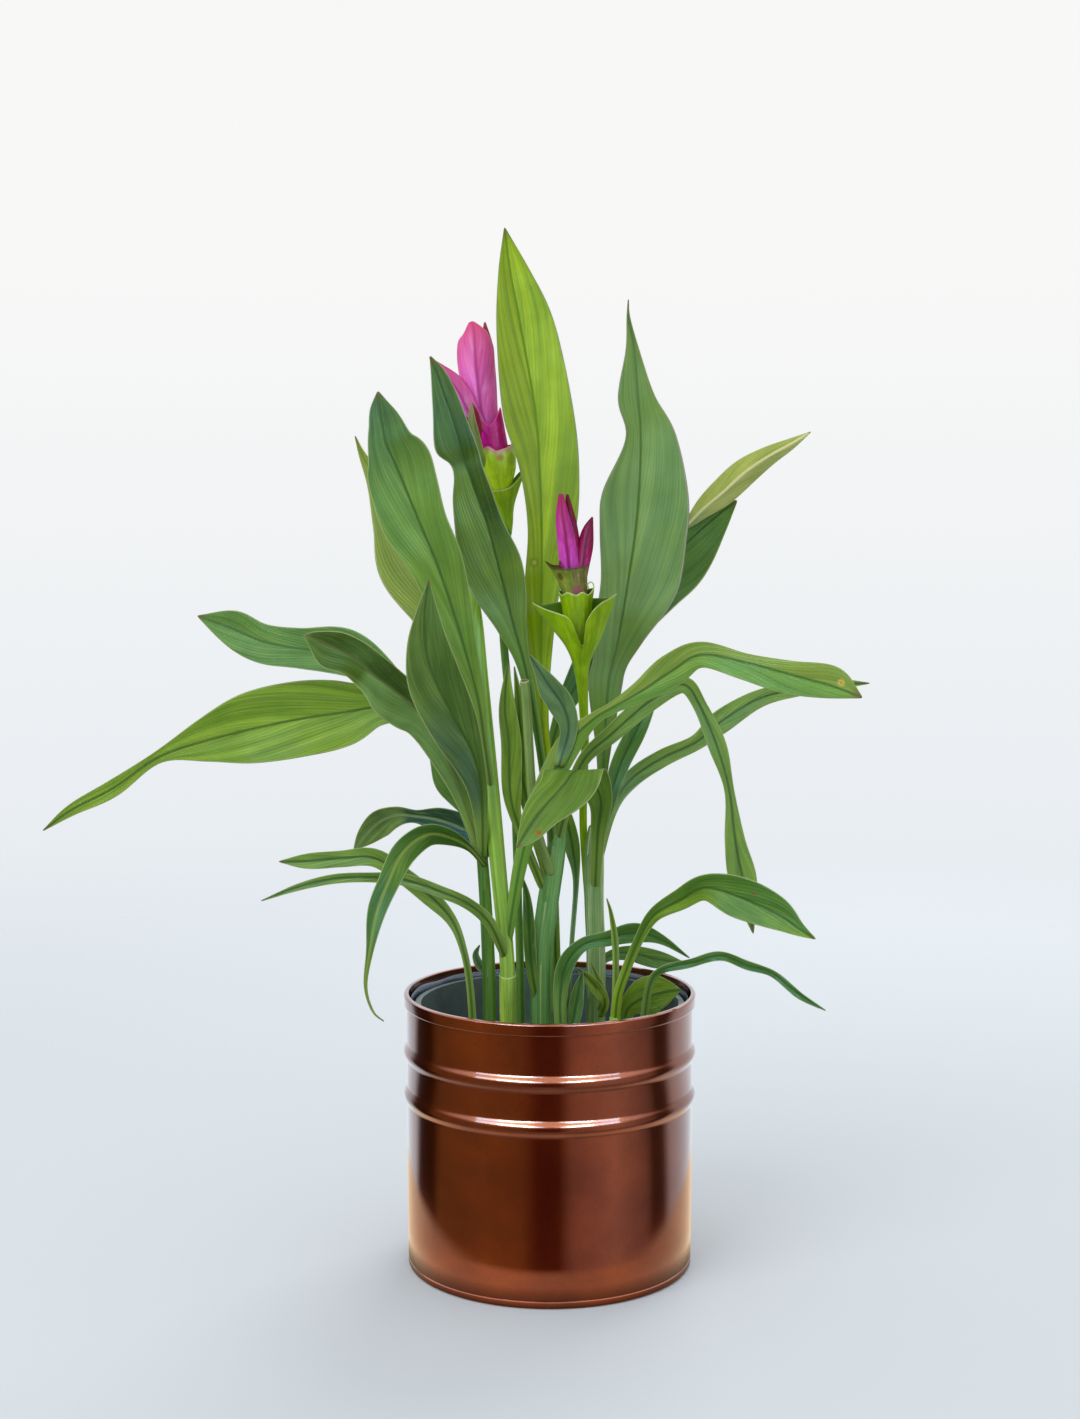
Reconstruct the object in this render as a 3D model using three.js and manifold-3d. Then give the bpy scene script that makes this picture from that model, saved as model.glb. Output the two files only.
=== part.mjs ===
// Potted turmeric: an ornamental curcuma with two flower heads, in a nursery pot that stands in a
// copper-coloured tin. Millimetres, +Z up. The origin is the middle of the tin's flat base, and the
// front of the plant faces -Y.
import * as THREE from "three";
import { mergeVertices } from "three/addons/utils/BufferGeometryUtils.js";
import Module from "manifold-3d";

const wasm = await Module();
wasm.setup();

// Driving dimensions of the tin
const TIN_HEIGHT = 134.4;
const TIN_TOP_RADIUS = 70;
const TIN_BASE_RADIUS = 69.5;
const TIN_WALL = 1.2;
const BASE_ROUNDING = 1.5;
const HEM_RADIUS = 71.3;
const HEM_HEIGHT = 6;
const HEM_EDGE = 0.8;
const RIB_MIDDLES = [85, 106];
const RIB_HALF_HEIGHT = 4.6;
const RIB_PROUD = 1.6;
const RIB_STEPS = 3;

// Driving dimensions of the nursery pot and the soil
const CLEARANCE = 0.3;
const NURSERY_TOP = 129;
const NURSERY_RIM_RADIUS = 66;
const NURSERY_TOP_RADIUS = 64;
const NURSERY_BASE_RADIUS = 50;
const NURSERY_WALL = 1.1;
const NURSERY_LIP = 6;
const SOIL_TOP = 98;
const SOIL_EDGE_DROP = 2;
const STEM_FOOT = 78;
const HOLE_DEPTH = 60;

// Leaf sections
const BLADE_THICKNESS = 0.95;
const LEAF_SECTION = [-1, -0.5, 0, 0.5, 1];
const TIP_HALF_WIDTH = 0.6;
const STEM_SIDES = 9;
const HOLE_SIDES = 10;
const POT_SIDES = 36;
const TIN_SIDES = 48;

const COLOURS = {
  tin: 0x74330f,
  nursery: 0x24282a,
  soil: 0x3a281c,
  leafDark: 0x3f6a34,
  leafBright: 0x86a92a,
  leafBlue: 0x4a6f52,
  stalkGreen: 0x7a9a34,
  pink: 0xc04fa8,
};

// A closed solid from rings of points, each ring counter-clockwise about the way it runs. In a leaf's
// ring the first half is one face and the second half the other, and both faces are split alike.
function loft(rings, isLeaf) {
  const count = rings[0].length;
  const half = count / 2;
  const positions = rings.flat().flatMap((p) => [p.x, p.y, p.z]);
  const index = [];
  for (let i = 0; i + 1 < rings.length; i++) {
    for (let j = 0; j < count; j++) {
      const k = (j + 1) % count;
      const [a, b] = [i * count + j, i * count + k];
      const [c, d] = [a + count, b + count];
      if (isLeaf && j >= half) index.push(a, b, c, b, d, c);
      else index.push(a, b, d, a, d, c);
    }
  }
  const last = (rings.length - 1) * count;
  if (isLeaf) {
    for (let j = 0; j + 1 < half; j++) {
      const [a, b, c, d] = [j, j + 1, count - 2 - j, count - 1 - j];
      index.push(a, d, c, a, c, b);
      index.push(last + a, last + b, last + c, last + a, last + c, last + d);
    }
  } else {
    for (let j = 1; j + 1 < count; j++) {
      index.push(0, j + 1, j);
      index.push(last, last + j, last + j + 1);
    }
  }
  return new THREE.BufferGeometry()
    .setAttribute("position", new THREE.Float32BufferAttribute(positions, 3))
    .setIndex(index);
}

function solidOf(geometry) {
  const bare = geometry.clone();
  bare.deleteAttribute("normal");
  bare.deleteAttribute("uv");
  const merged = mergeVertices(bare, 1e-4);
  return new wasm.Manifold(
    new wasm.Mesh({
      numProp: 3,
      vertProperties: merged.attributes.position.array,
      triVerts: new Uint32Array(merged.index.array),
    }),
  );
}

function geometryOf(solid) {
  const mesh = solid.getMesh();
  const geometry = new THREE.BufferGeometry()
    .setAttribute("position", new THREE.BufferAttribute(mesh.vertProperties, 3))
    .setIndex(new THREE.BufferAttribute(mesh.triVerts, 1));
  geometry.computeVertexNormals();
  return geometry;
}

const fuse = (solids) => solids.reduce((whole, next) => whole.add(next));

// The frame at one point of a leaf or stem: side runs to its right seen from its face, and face points
// to the front, or where the given side leaves it.
function frameAt(path, t, turn, side) {
  const along = path.getTangent(t);
  const across = side
    ? side.clone().addScaledVector(along, -side.dot(along)).normalize()
    : along.clone().cross(new THREE.Vector3(0, -1, 0)).normalize();
  const face = across.clone().cross(along);
  const angle = THREE.MathUtils.degToRad(turn);
  const turnedSide = across.clone().multiplyScalar(Math.cos(angle)).addScaledVector(face, Math.sin(angle));
  const turnedFace = face.multiplyScalar(Math.cos(angle)).addScaledVector(across, -Math.sin(angle));
  return { side: turnedSide, face: turnedFace };
}

function curveThrough(points) {
  return new THREE.CatmullRomCurve3(points, false, "catmullrom", 0.5);
}

// A leaf runs through stations from inside its stem to its tip: [x, y, z, left, right, turn]. Left and
// right are the half widths of the blade and turn rolls it. It is a round stalk for the first share of
// its length, then a thin blade whose halves rise from the midrib by the fold angle. A petal has no stalk.
function leaf(stations, { fold = 12, stalk = 0.25, side = null, steps = 0 } = {}) {
  const path = curveThrough(stations.map(([x, y, z]) => new THREE.Vector3(x, y, z)));
  const widths = curveThrough(
    stations.map(([, , , left, right, turn = 0]) => new THREE.Vector3(left, right, turn)),
  );
  const count = steps || Math.round(1.15 * (stations.length - 1));
  const rise = THREE.MathUtils.degToRad(fold);
  const rings = [];
  for (let i = 0; i <= count; i++) {
    const t = i / count;
    const middle = path.getPoint(t);
    const width = widths.getPoint(t);
    const frame = frameAt(path, t, width.z, side);
    const round = stalk ? 1 - THREE.MathUtils.smoothstep(t, 0.3 * stalk, stalk) : 0;
    const thick = THREE.MathUtils.lerp(BLADE_THICKNESS, 1.7 * stations[0][3], round);
    const flat = 1 - round;
    const top = [];
    const bottom = [];
    for (const u of LEAF_SECTION) {
      const reach = u * Math.max(u < 0 ? width.x : width.y, TIP_HALF_WIDTH);
      const sunk = Math.abs(reach) * Math.sin(rise) * flat;
      const shape = THREE.MathUtils.lerp(1 - 0.35 * u * u, Math.sqrt(1 - 0.85 * u * u), round);
      const point = middle
        .clone()
        .addScaledVector(frame.side, reach * Math.cos(rise * flat))
        .addScaledVector(frame.face, sunk);
      const halfThick = frame.face.clone().multiplyScalar((thick / 2) * shape);
      top.push(point.clone().add(halfThick));
      bottom.unshift(point.clone().sub(halfThick));
    }
    rings.push([...top, ...bottom]);
  }
  return solidOf(loft(rings, true));
}

// A round stem, stalk or flower body through stations [x, y, z, radius]
function stem(stations, { sides = STEM_SIDES, steps = 0 } = {}) {
  const path = curveThrough(stations.map(([x, y, z]) => new THREE.Vector3(x, y, z)));
  const radii = curveThrough(stations.map(([, , , r]) => new THREE.Vector3(r, 0, 0)));
  const count = steps || stations.length - 1;
  const rings = [];
  for (let i = 0; i <= count; i++) {
    const middle = path.getPoint(i / count);
    const radius = radii.getPoint(i / count).x;
    const frame = frameAt(path, i / count, 0, null);
    const ring = [];
    for (let j = 0; j < sides; j++) {
      const angle = (2 * Math.PI * j) / sides;
      ring.push(
        middle
          .clone()
          .addScaledVector(frame.face, radius * Math.cos(angle))
          .addScaledVector(frame.side, radius * Math.sin(angle)),
      );
    }
    rings.push(ring);
  }
  return solidOf(loft(rings, false));
}

// The part of a stem in the soil, straight down from the place where it comes out
function root(x, y, z, radius) {
  return stem([
    [x, y, STEM_FOOT, radius],
    [x, y, (STEM_FOOT + z) / 2, radius],
    [x, y, z, radius],
  ]);
}

// Where each stem stands in the soil: [x, y, radius]
const HOLES = {
  leafLowLeft: [-36, -24, 2.1],
  stemLeft: [-29, -8, 3.3],
  stemBright: [-20, -17, 3.9],
  stemCentre: [-4.5, -2, 5.4],
  leafShort: [6, -17, 2.6],
  stemRight: [22.5, 2, 4.7],
  leafFrontRight: [31, -27, 2.6],
  leafWavy: [45, -9, 2.1],
  leafBack: [21, 44, 2.1],
  leafFarRight: [4, 26, 2.6],
  leafInside: [36, 16, 2.6],
  bloomLeft: [-14, 9, 2.1],
  bloomRight: [22, 13.5, 2.1],
};

// Leafy stems

function leafLowLeft() {
  const [x, y, r] = HOLES.leafLowLeft;
  return fuse([
    root(x, y, 122, r),
    leaf(
      [
        [x, y, 112, r, r],
        [-38, -25, 142, 1.8, 1.8],
        [-41, -27, 160, 1.8, 1.8],
        [-46, -28, 174, 2.9, 2.4],
        [-56, -30, 186, 4.8, 3.9],
        [-70, -31, 197, 4.3, 4.3],
        [-83, -32, 205, 4.3, 4.8],
        [-98, -34, 205, 4.3, 3.8],
        [-114, -36, 204, 3.8, 3.8],
        [-127, -38, 204, 0.6, 0.6],
      ],
      { stalk: 0.4 },
    ),
  ]);
}

function stemLeft() {
  const [x, y, r] = HOLES.stemLeft;
  const trunk = stem([
    [x, y, STEM_FOOT, r],
    [x, y, 104, r],
    [-29.5, -8, 145, 3.2],
    [-31, -9, 180, 3],
    [-33, -11, 208, 2.6],
    [-34, -13, 218, 1.6],
  ]);
  const dark = leaf(
    [
      [-32, -14, 202, 2, 2],
      [-32, -30, 234, 6, 3],
      [-35, -43, 254, 11.4, 4.7],
      [-43, -55, 272, 13.5, 10.3],
      [-52, -63, 291, 12.9, 12.9],
      [-56, -68, 307, 8.7, 11.5],
      [-56, -71, 322, 4.1, 6.9],
      [-54, -73, 337, 0.6, 0.6],
    ],
    { stalk: 0.15, steps: 9 },
  );
  const folded = leaf(
    [
      [-33, -11, 205, 2, 2],
      [-41, -17, 230, 4, 4],
      [-49, -24, 252, 7.5, 6],
      [-57.5, -30, 270, 11, 8.4],
      [-66, -35, 279, 13.6, 9.2],
      [-75, -41, 287, 13.4, 9.6],
      [-81, -45, 292, 9.6, 10.2],
      [-90, -51, 300.5, 9, 9.6],
      [-100, -56, 306, 10.4, 8.6],
      [-107, -60, 309.6, 5, 4.4],
      [-111.5, -62, 311.4, 0.6, 0.6],
    ],
    { stalk: 0.15, fold: 16, steps: 13 },
  );
  const behind = leaf(
    [
      [-33, -9, 199, 1.6, 1.6],
      [-46, -8, 234, 2, 2],
      [-63, -6, 270, 3.9, 3.9],
      [-82, -2, 290, 7.8, 8.8],
      [-99, 4, 299, 10.8, 12.8],
      [-122, 12, 301, 9.9, 10.4],
      [-141, 20, 304, 11, 9],
      [-157, 27, 310, 9, 9.5],
      [-176, 36, 316, 0.6, 0.6],
    ],
    { fold: 10 },
  );
  const farLeft = leaf(
    [
      [-32, -8, 198, 1.6, 1.6],
      [-45, 2, 240, 1.6, 1.6],
      [-61, 10, 265, 2.5, 2.5],
      [-81, 16, 272, 9, 9],
      [-101, 22, 269, 17.2, 16.7],
      [-124, 30, 265, 19.4, 19.9],
      [-150, 38, 259, 17.5, 19],
      [-175, 46, 252, 10.9, 11.4],
      [-200, 54, 243, 3.2, 3.4],
      [-225, 62, 226, 4.7, 4.7],
      [-248, 68, 214, 3.2, 3.2],
      [-265, 74, 202, 0.6, 0.6],
    ],
    { stalk: 0.22 },
  );
  const level = leaf(
    [
      [-32, -9, 200, 2, 2],
      [-34, -5, 210, 8, 8],
      [-44, -1, 215, 9, 7.6],
      [-54, 3, 218, 7.6, 6.4],
      [-65, 8, 219, 3.4, 3.4],
      [-75, 13, 219, 6, 4.6],
      [-84, 18, 215, 8, 6.2],
      [-92, 23, 207, 5.4, 4.2],
      [-98, 27, 199, 0.6, 0.6],
    ],
    { stalk: 0.1, steps: 11 },
  );
  const drooping = leaf(
    [
      [-31, -12, 198, 1.6, 1.6],
      [-38, -22, 208, 1.8, 1.8],
      [-47, -34, 215, 4, 4],
      [-57, -46, 218, 5.6, 5.2],
      [-67, -58, 212, 6.6, 5.6],
      [-73, -68, 200, 5.4, 5],
      [-78, -74, 187, 4.2, 4.6],
      [-81, -78, 170, 1.8, 1.8],
      [-83, -79, 154, 0.9, 0.9],
      [-80, -77, 142, 0.7, 0.7],
      [-75, -76, 137, 0.6, 0.6],
    ],
    { stalk: 0.15 },
  );
  const young = leaf(
    [
      [-33, -11, 208, 2, 2],
      [-38, -12, 221, 2.4, 2.4],
      [-44, -13, 232, 5.7, 5],
      [-49, -15, 240, 6.7, 5.7],
      [-53, -17, 249, 4.3, 3.3],
      [-58, -18, 259, 0.6, 0.6],
    ],
    { stalk: 0.2 },
  );
  return fuse([trunk, dark, folded, behind, farLeft, level, drooping, young]);
}

function stemBright() {
  const [x, y, r] = HOLES.stemBright;
  const trunk = stem([
    [x, y, STEM_FOOT, r],
    [x, y, 104, r],
    [-20, -17, 142, 3.8],
    [-21.5, -17, 165, 3.8],
    [-24.5, -16, 196, 4],
    [-27.6, -14, 229, 4.2],
    [-30.6, -9, 258, 4.3],
    [-33.6, -4, 288, 4.2],
    [-36, 1, 317, 3.6],
    [-37.4, 5, 334, 1.2],
  ]);
  const largeLeft = leaf(
    [
      [-27, -14, 228, 2, 2],
      [-31, -19, 259, 2, 2],
      [-34, -23, 280, 3.4, 3.4],
      [-41, -28, 307, 7.7, 6.7],
      [-49, -34, 334, 11.4, 12.4],
      [-58, -38, 358, 16.1, 15.1],
      [-66, -41, 379, 17.8, 15],
      [-72, -42, 396, 14.1, 12],
      [-76, -42, 408, 7.5, 8],
      [-79, -41, 422, 0.9, 0.9],
    ],
    { stalk: 0.25, steps: 12 },
  );
  const behindLeft = leaf(
    [
      [-27, -13, 232, 1.6, 1.6],
      [-35, 0, 262, 2, 2],
      [-43, 8, 293, 4, 4],
      [-55, 13, 321, 14, 8.9],
      [-67, 17, 343, 18, 10.9],
      [-76, 21, 363, 11.5, 9],
      [-84, 25, 381, 6, 5],
      [-92, 28, 395, 2, 2],
      [-96, 30, 405, 0.6, 0.6],
    ],
    { fold: 10 },
  );
  const bentRight = leaf(
    [
      [-21, -18, 158, 2.2, 2.2],
      [-13, -22, 205, 3.6, 3.6],
      [-3, -24, 234, 5.6, 5.6],
      [9, -26, 258, 6.3, 6.3],
      [20, -31, 270, 3.4, 3.4],
      [29, -35, 276, 2.9, 2.9],
      [42, -40, 284, 5.2, 5.2],
      [56, -46, 294, 8.5, 7.5],
      [69, -52, 302, 6.5, 6.1],
      [89, -60, 299, 4.2, 8.3],
      [108, -66, 294, 6.5, 9.2],
      [127, -70, 289, 9.2, 6],
      [140, -73, 284, 0.6, 0.6],
    ],
    { stalk: 0.25, steps: 15 },
  );
  const small = leaf(
    [
      [4, -25, 247, 3, 3],
      [9, -28, 265, 4.3, 4.3],
      [6, -31, 277, 6.7, 5.7],
      [0, -35, 286, 6.2, 5.2],
      [-5, -38, 294, 2.8, 2.8],
      [-10, -41, 302, 0.6, 0.6],
    ],
    { stalk: 0.1, steps: 7 },
  );
  const low = leaf(
    [
      [-21, -18, 154, 2, 2],
      [-28, -30, 173, 2.9, 2.9],
      [-38, -38, 184, 2.9, 2.9],
      [-51, -44, 191, 2.9, 2.9],
      [-67, -48, 197, 2.8, 3.3],
      [-83, -52, 199, 2.4, 2.4],
      [-99, -56, 199, 2.4, 2.4],
      [-115, -60, 196, 1.9, 1.6],
      [-132, -64, 190, 0.6, 0.6],
    ],
    { stalk: 0.25 },
  );
  return fuse([trunk, largeLeft, behindLeft, bentRight, small, low]);
}

function stemCentre() {
  const [x, y, r] = HOLES.stemCentre;
  const trunk = stem([
    [x, y, STEM_FOOT, r],
    [x, y, 104, r],
    [-4, -2, 150, 5.3],
    [-1, -2, 178, 5.2],
    [3, -2, 204, 4.6],
    [5, -2, 224, 2.4],
  ]);
  const tall = leaf(
    [
      [3, -1, 200, 3, 3],
      [-1, 2, 240, 2.2, 2.2],
      [-4, 4, 274, 3, 3],
      [-4, 8, 325, 8.4, 8.4],
      [-4, 10, 359, 6.9, 17.3],
      [-5, 12, 388, 9.9, 19.8],
      [-7, 14, 416, 16.3, 18.8],
      [-14, 18, 456, 12.4, 16.8],
      [-19, 20, 482, 6.4, 9.9],
      [-22, 23, 505, 0.6, 0.6],
    ],
    { stalk: 0.3, steps: 13 },
  );
  const foldedLeft = leaf(
    [
      [2, -4, 205, 2.2, 2.2],
      [-6, -4, 262, 2, 2],
      [-12, -5, 294, 3.9, 2.9],
      [-17, -6, 312, 5.9, 6.4],
      [-21, -7, 328, 11.7, 9.3],
      [-26, -8, 349, 14.1, 12.2],
      [-33, -9, 371, 13.1, 8.2],
      [-39, -10, 387, 8.2, 7.7],
      [-43, -11, 401, 11.6, 7.2],
      [-47, -11, 415, 8.2, 6.3],
      [-51, -10, 427, 4.8, 4.8],
      [-57, -9, 440, 0.6, 1],
    ],
    { stalk: 0.25, steps: 13 },
  );
  const upright = leaf(
    [
      [-3, -4, 185, 2.2, 2.2],
      [-15, -10, 217, 2.6, 2.6],
      [-19, -11, 234, 4, 6.1],
      [-19.5, -12, 256, 4, 6.6],
      [-21.5, -12, 275, 3, 5.6],
      [-20, -12, 296, 0.6, 0.6],
    ],
    { stalk: 0.3, fold: 20, steps: 7 },
  );
  const inner = leaf(
    [
      [-1, -4, 190, 2, 2],
      [-12, -8, 234, 3.5, 3.5],
      [-14, -9, 256, 3, 3.5],
      [-15, -9, 277, 2, 2.5],
      [-17, -9, 294, 0.6, 0.6],
    ],
    { stalk: 0.3, fold: 15, steps: 6 },
  );
  const channelRight = leaf(
    [
      [3, -3, 205, 2.4, 2.4],
      [14, -9, 245, 2.9, 2.9],
      [30, -13, 262, 4.4, 4.4],
      [48, -16, 278, 4.9, 4.9],
      [63, -20, 286, 4.4, 4.4],
      [71, -22, 276, 3.4, 3.4],
      [79, -24, 257, 4.8, 4.3],
      [85, -24, 236, 2.4, 2.4],
      [88, -24, 212, 4.9, 5.3],
      [92, -24, 192, 6.8, 6.8],
      [97, -24, 167, 0.6, 0.6],
    ],
    { stalk: 0.2, steps: 14 },
  );
  const cutStalk = stem(
    [
      [1, -5, 192, 2.3],
      [-6, -12, 215, 2.3],
      [-9, -14, 240, 2.3],
      [-11, -15, 276, 2.3],
      [-12, -15, 287, 2.1],
    ],
    { sides: 7 },
  );
  const sheath = leaf(
    [
      [-6, -4, 130, 2.4, 2.4],
      [-9, -8, 150, 3, 3],
      [-10, -9, 168, 3, 3],
      [-11, -9, 182, 2, 2],
      [-13, -9, 192, 0.6, 0.6],
    ],
    { stalk: 0.3, steps: 5 },
  );
  return fuse([trunk, tall, foldedLeft, upright, inner, channelRight, cutStalk, sheath]);
}

function leafFarRight() {
  const [x, y, r] = HOLES.leafFarRight;
  return fuse([
    root(x, y, 122, r),
    leaf(
      [
        [x, y, 112, r, r],
        [2, 24, 180, 2.4, 2.4],
        [0, 22, 240, 2.2, 2.2],
        [3, 28, 267, 3.5, 3.5],
        [10, 36, 289, 7.1, 7.1],
        [25, 46, 318, 15.3, 14.3],
        [49, 60, 343, 18.1, 23.3],
        [72, 74, 361, 11.5, 19.9],
        [96, 86, 379, 7.4, 6.3],
        [118, 94, 395, 4.8, 4.8],
        [137, 100, 410, 0.6, 0.6],
      ],
      { stalk: 0.4, fold: 10, steps: 14 },
    ),
  ]);
}

function stemRight() {
  const [x, y, r] = HOLES.stemRight;
  const trunk = stem([
    [x, y, STEM_FOOT, r],
    [x, y, 104, r],
    [22.5, 2, 150, 4.6],
    [21.5, 2, 178, 4.7],
    [21.5, 2, 200, 4.8],
    [22, 2, 216, 3],
  ]);
  const bigRight = leaf(
    [
      [22, 4, 196, 2.4, 2.4],
      [26, 15, 240, 2.6, 2.6],
      [28.5, 19, 280, 9.8, 6.9],
      [31, 21, 293, 10.5, 7.4],
      [34, 23, 306, 13.9, 12.6],
      [38, 27, 330, 13.6, 25.3],
      [42, 31, 356, 18.2, 26.3],
      [44, 34, 376, 18.7, 25.3],
      [45, 38, 404, 7.6, 18.3],
      [44, 42, 424, 10.7, 8.6],
      [42, 44, 448, 4.6, 2.5],
      [39, 45, 464, 1, 1],
      [39, 46, 473, 0.6, 0.6],
    ],
    { stalk: 0.25, steps: 15 },
  );
  const flopped = leaf(
    [
      [22, 0, 184, 2.4, 2.4],
      [23, -11, 213, 3.4, 3.9],
      [24, -24, 233, 7, 6],
      [14, -37, 247, 16, 13],
      [6, -51, 241, 12.1, 13.9],
      [-4, -62, 231, 8.7, 9.6],
      [-11, -70, 222, 3.6, 6.4],
      [-15, -74, 216, 0.6, 0.6],
    ],
    { stalk: 0.2, fold: 8, side: new THREE.Vector3(1, 0, 0), steps: 10 },
  );
  const darkBlade = leaf(
    [
      [22, 4, 196, 2, 2],
      [28, 6, 222, 3, 3],
      [34, 9, 243, 5, 4.5],
      [42, 11, 260, 5, 5],
      [48, 13, 272, 3.5, 3.5],
      [54, 15, 280, 0.6, 0.6],
    ],
    { steps: 7 },
  );
  const lowRight = leaf(
    [
      [22, 4, 190, 2, 2],
      [30, 12, 221, 3, 3],
      [40, 18, 236, 4.5, 4.5],
      [56, 25, 246, 4.6, 4.6],
      [73, 32, 253, 4.1, 4.1],
      [86, 38, 263, 6.2, 6.2],
      [106, 46, 274, 4.7, 4.7],
      [127, 54, 278, 3.6, 3.6],
      [149, 62, 280, 2.6, 2.6],
      [165, 68, 280, 0.6, 0.6],
    ],
    { stalk: 0.2 },
  );
  const scrap = leaf(
    [
      [24, 0, 126, 1.6, 1.6],
      [25, -6, 133, 2.4, 2.4],
      [20, -9, 142, 2.8, 2.8],
      [14, -10, 147, 0.6, 0.6],
    ],
    { stalk: 0.2, steps: 4 },
  );
  return fuse([trunk, bigRight, flopped, darkBlade, lowRight, scrap]);
}

function leafFrontRight() {
  const [x, y, r] = HOLES.leafFrontRight;
  return fuse([
    root(x, y, 128, r),
    leaf(
      [
        [x, y, 118, r, r],
        [32, -27, 136, 2.4, 2.4],
        [36, -29, 150, 2.4, 2.4],
        [42, -33, 166, 2.4, 2.4],
        [49, -38, 179, 3.4, 3.4],
        [61, -44, 187, 5.7, 4.8],
        [72, -50, 194, 6.6, 6.2],
        [87, -58, 191, 9.9, 9.9],
        [103, -66, 185, 8.4, 7.9],
        [113, -72, 179, 3.2, 3.7],
        [120, -76, 175, 0.6, 0.6],
      ],
      { stalk: 0.35, steps: 13 },
    ),
    leaf(
      [
        [31, -27, 118, 2, 2],
        [31.5, -26, 151, 1.6, 1.6],
        [31, -26, 165, 1.7, 1.7],
        [29, -27, 178, 1, 1],
        [27, -28, 185, 0.6, 0.6],
      ],
      { stalk: 0.6, steps: 6 },
    ),
  ]);
}

function leafWavy() {
  const [x, y, r] = HOLES.leafWavy;
  return fuse([
    root(x, y, 122, r),
    leaf(
      [
        [x, y, 112, r, r],
        [48, -10, 138, 2, 2],
        [54, -12, 147, 2, 2],
        [68, -14, 151, 2.4, 2.4],
        [82, -16, 155, 2.4, 2.4],
        [94, -18, 151, 2.4, 2.4],
        [107, -20, 147, 1.9, 1.9],
        [120, -22, 137, 1.5, 2.2],
        [132, -24, 130, 0.6, 0.6],
      ],
      { stalk: 0.3, fold: 18, steps: 11 },
    ),
  ]);
}

function leafShort() {
  const [x, y, r] = HOLES.leafShort;
  return fuse([
    root(x, y, 122, r),
    leaf(
      [
        [x, y, 112, r, r],
        [5, -17, 140, 2, 2],
        [7, -18, 154, 2.2, 2.2],
        [15, -19, 162, 2.5, 2.5],
        [27, -19, 164, 3.9, 3.9],
        [41, -16, 166, 5.4, 4.9],
        [54, -12, 162, 2.5, 2.5],
        [68, -8, 152, 0.6, 0.6],
      ],
      { stalk: 0.3, steps: 9 },
    ),
    leaf(
      [
        [7, -17, 112, 2.4, 2.4],
        [10, -14, 126, 2.6, 2.6],
        [12, -13, 138, 1.8, 1.8],
        [13, -12, 146, 0.6, 0.6],
      ],
      { stalk: 0.3, steps: 4 },
    ),
    leaf(
      [
        [6, -16, 114, 1.6, 1.6],
        [9, -10, 132, 1.2, 1.2],
        [11, 2, 160, 1.2, 1.2],
        [13, 10, 187, 1.6, 1.6],
        [11, 13, 204, 4, 4],
        [8, 15, 219, 3, 3],
        [6, 16, 228, 0.6, 0.6],
      ],
      { stalk: 0.6, steps: 9 },
    ),
  ]);
}

function leafBack() {
  const [x, y, r] = HOLES.leafBack;
  return fuse([
    root(x, y, 122, r),
    leaf(
      [
        [x, y, 112, r, r],
        [22, 46, 130, 2, 2],
        [28, 48, 140, 2.4, 2.4],
        [40, 51, 142.5, 4, 4],
        [56, 56, 138, 4.8, 4.8],
        [71, 60, 135, 0.6, 0.6],
      ],
      { stalk: 0.3, steps: 8 },
    ),
  ]);
}

function leafInside() {
  const [x, y, r] = HOLES.leafInside;
  return fuse([
    root(x, y, 118, r),
    leaf(
      [
        [x, y, 110, r, r],
        [39, 14, 122, 5, 5],
        [47, 12, 128, 10, 10],
        [56, 10, 131, 9, 7],
        [65, 8, 133, 0.6, 0.6],
      ],
      { stalk: 0.15, fold: 6, steps: 7 },
    ),
  ]);
}

// Flower heads: the green stalk with its cup of green bracts, and the coloured bracts that stand in it

function bloomLeftGreen() {
  const [x, y, r] = HOLES.bloomLeft;
  const body = stem(
    [
      [x, y, STEM_FOOT, r],
      [x, y, 122, 2.1],
      [-15, 9, 162, 2],
      [-17, 12, 226, 2],
      [-20, 16, 275, 2],
      [-23, 19, 312, 2],
      [-22, 21, 344, 2.1],
      [-21, 22, 363, 2.6],
      [-22, 22, 375, 5.6],
      [-24, 22, 384, 8.3],
      [-26, 22, 392, 9],
      [-26, 22, 397.7, 8],
    ],
    { sides: 10 },
  );
  const lowTip = leaf(
    [
      [-23, 18, 374, 3.9, 3.9],
      [-17, 15, 379, 2.9, 2.9],
      [-11, 13, 386, 0.6, 0.6],
    ],
    { stalk: 0, fold: 8, steps: 4 },
  );
  const highTip = leaf(
    [
      [-31, 15, 386, 2.9, 2.9],
      [-36, 9, 400, 2.4, 2.4],
      [-37.5, 6, 412, 1.9, 1.9],
      [-37, 6, 421, 0.6, 0.6],
    ],
    { stalk: 0, fold: 8, steps: 4 },
  );
  return fuse([body, lowTip, highTip]);
}

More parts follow.
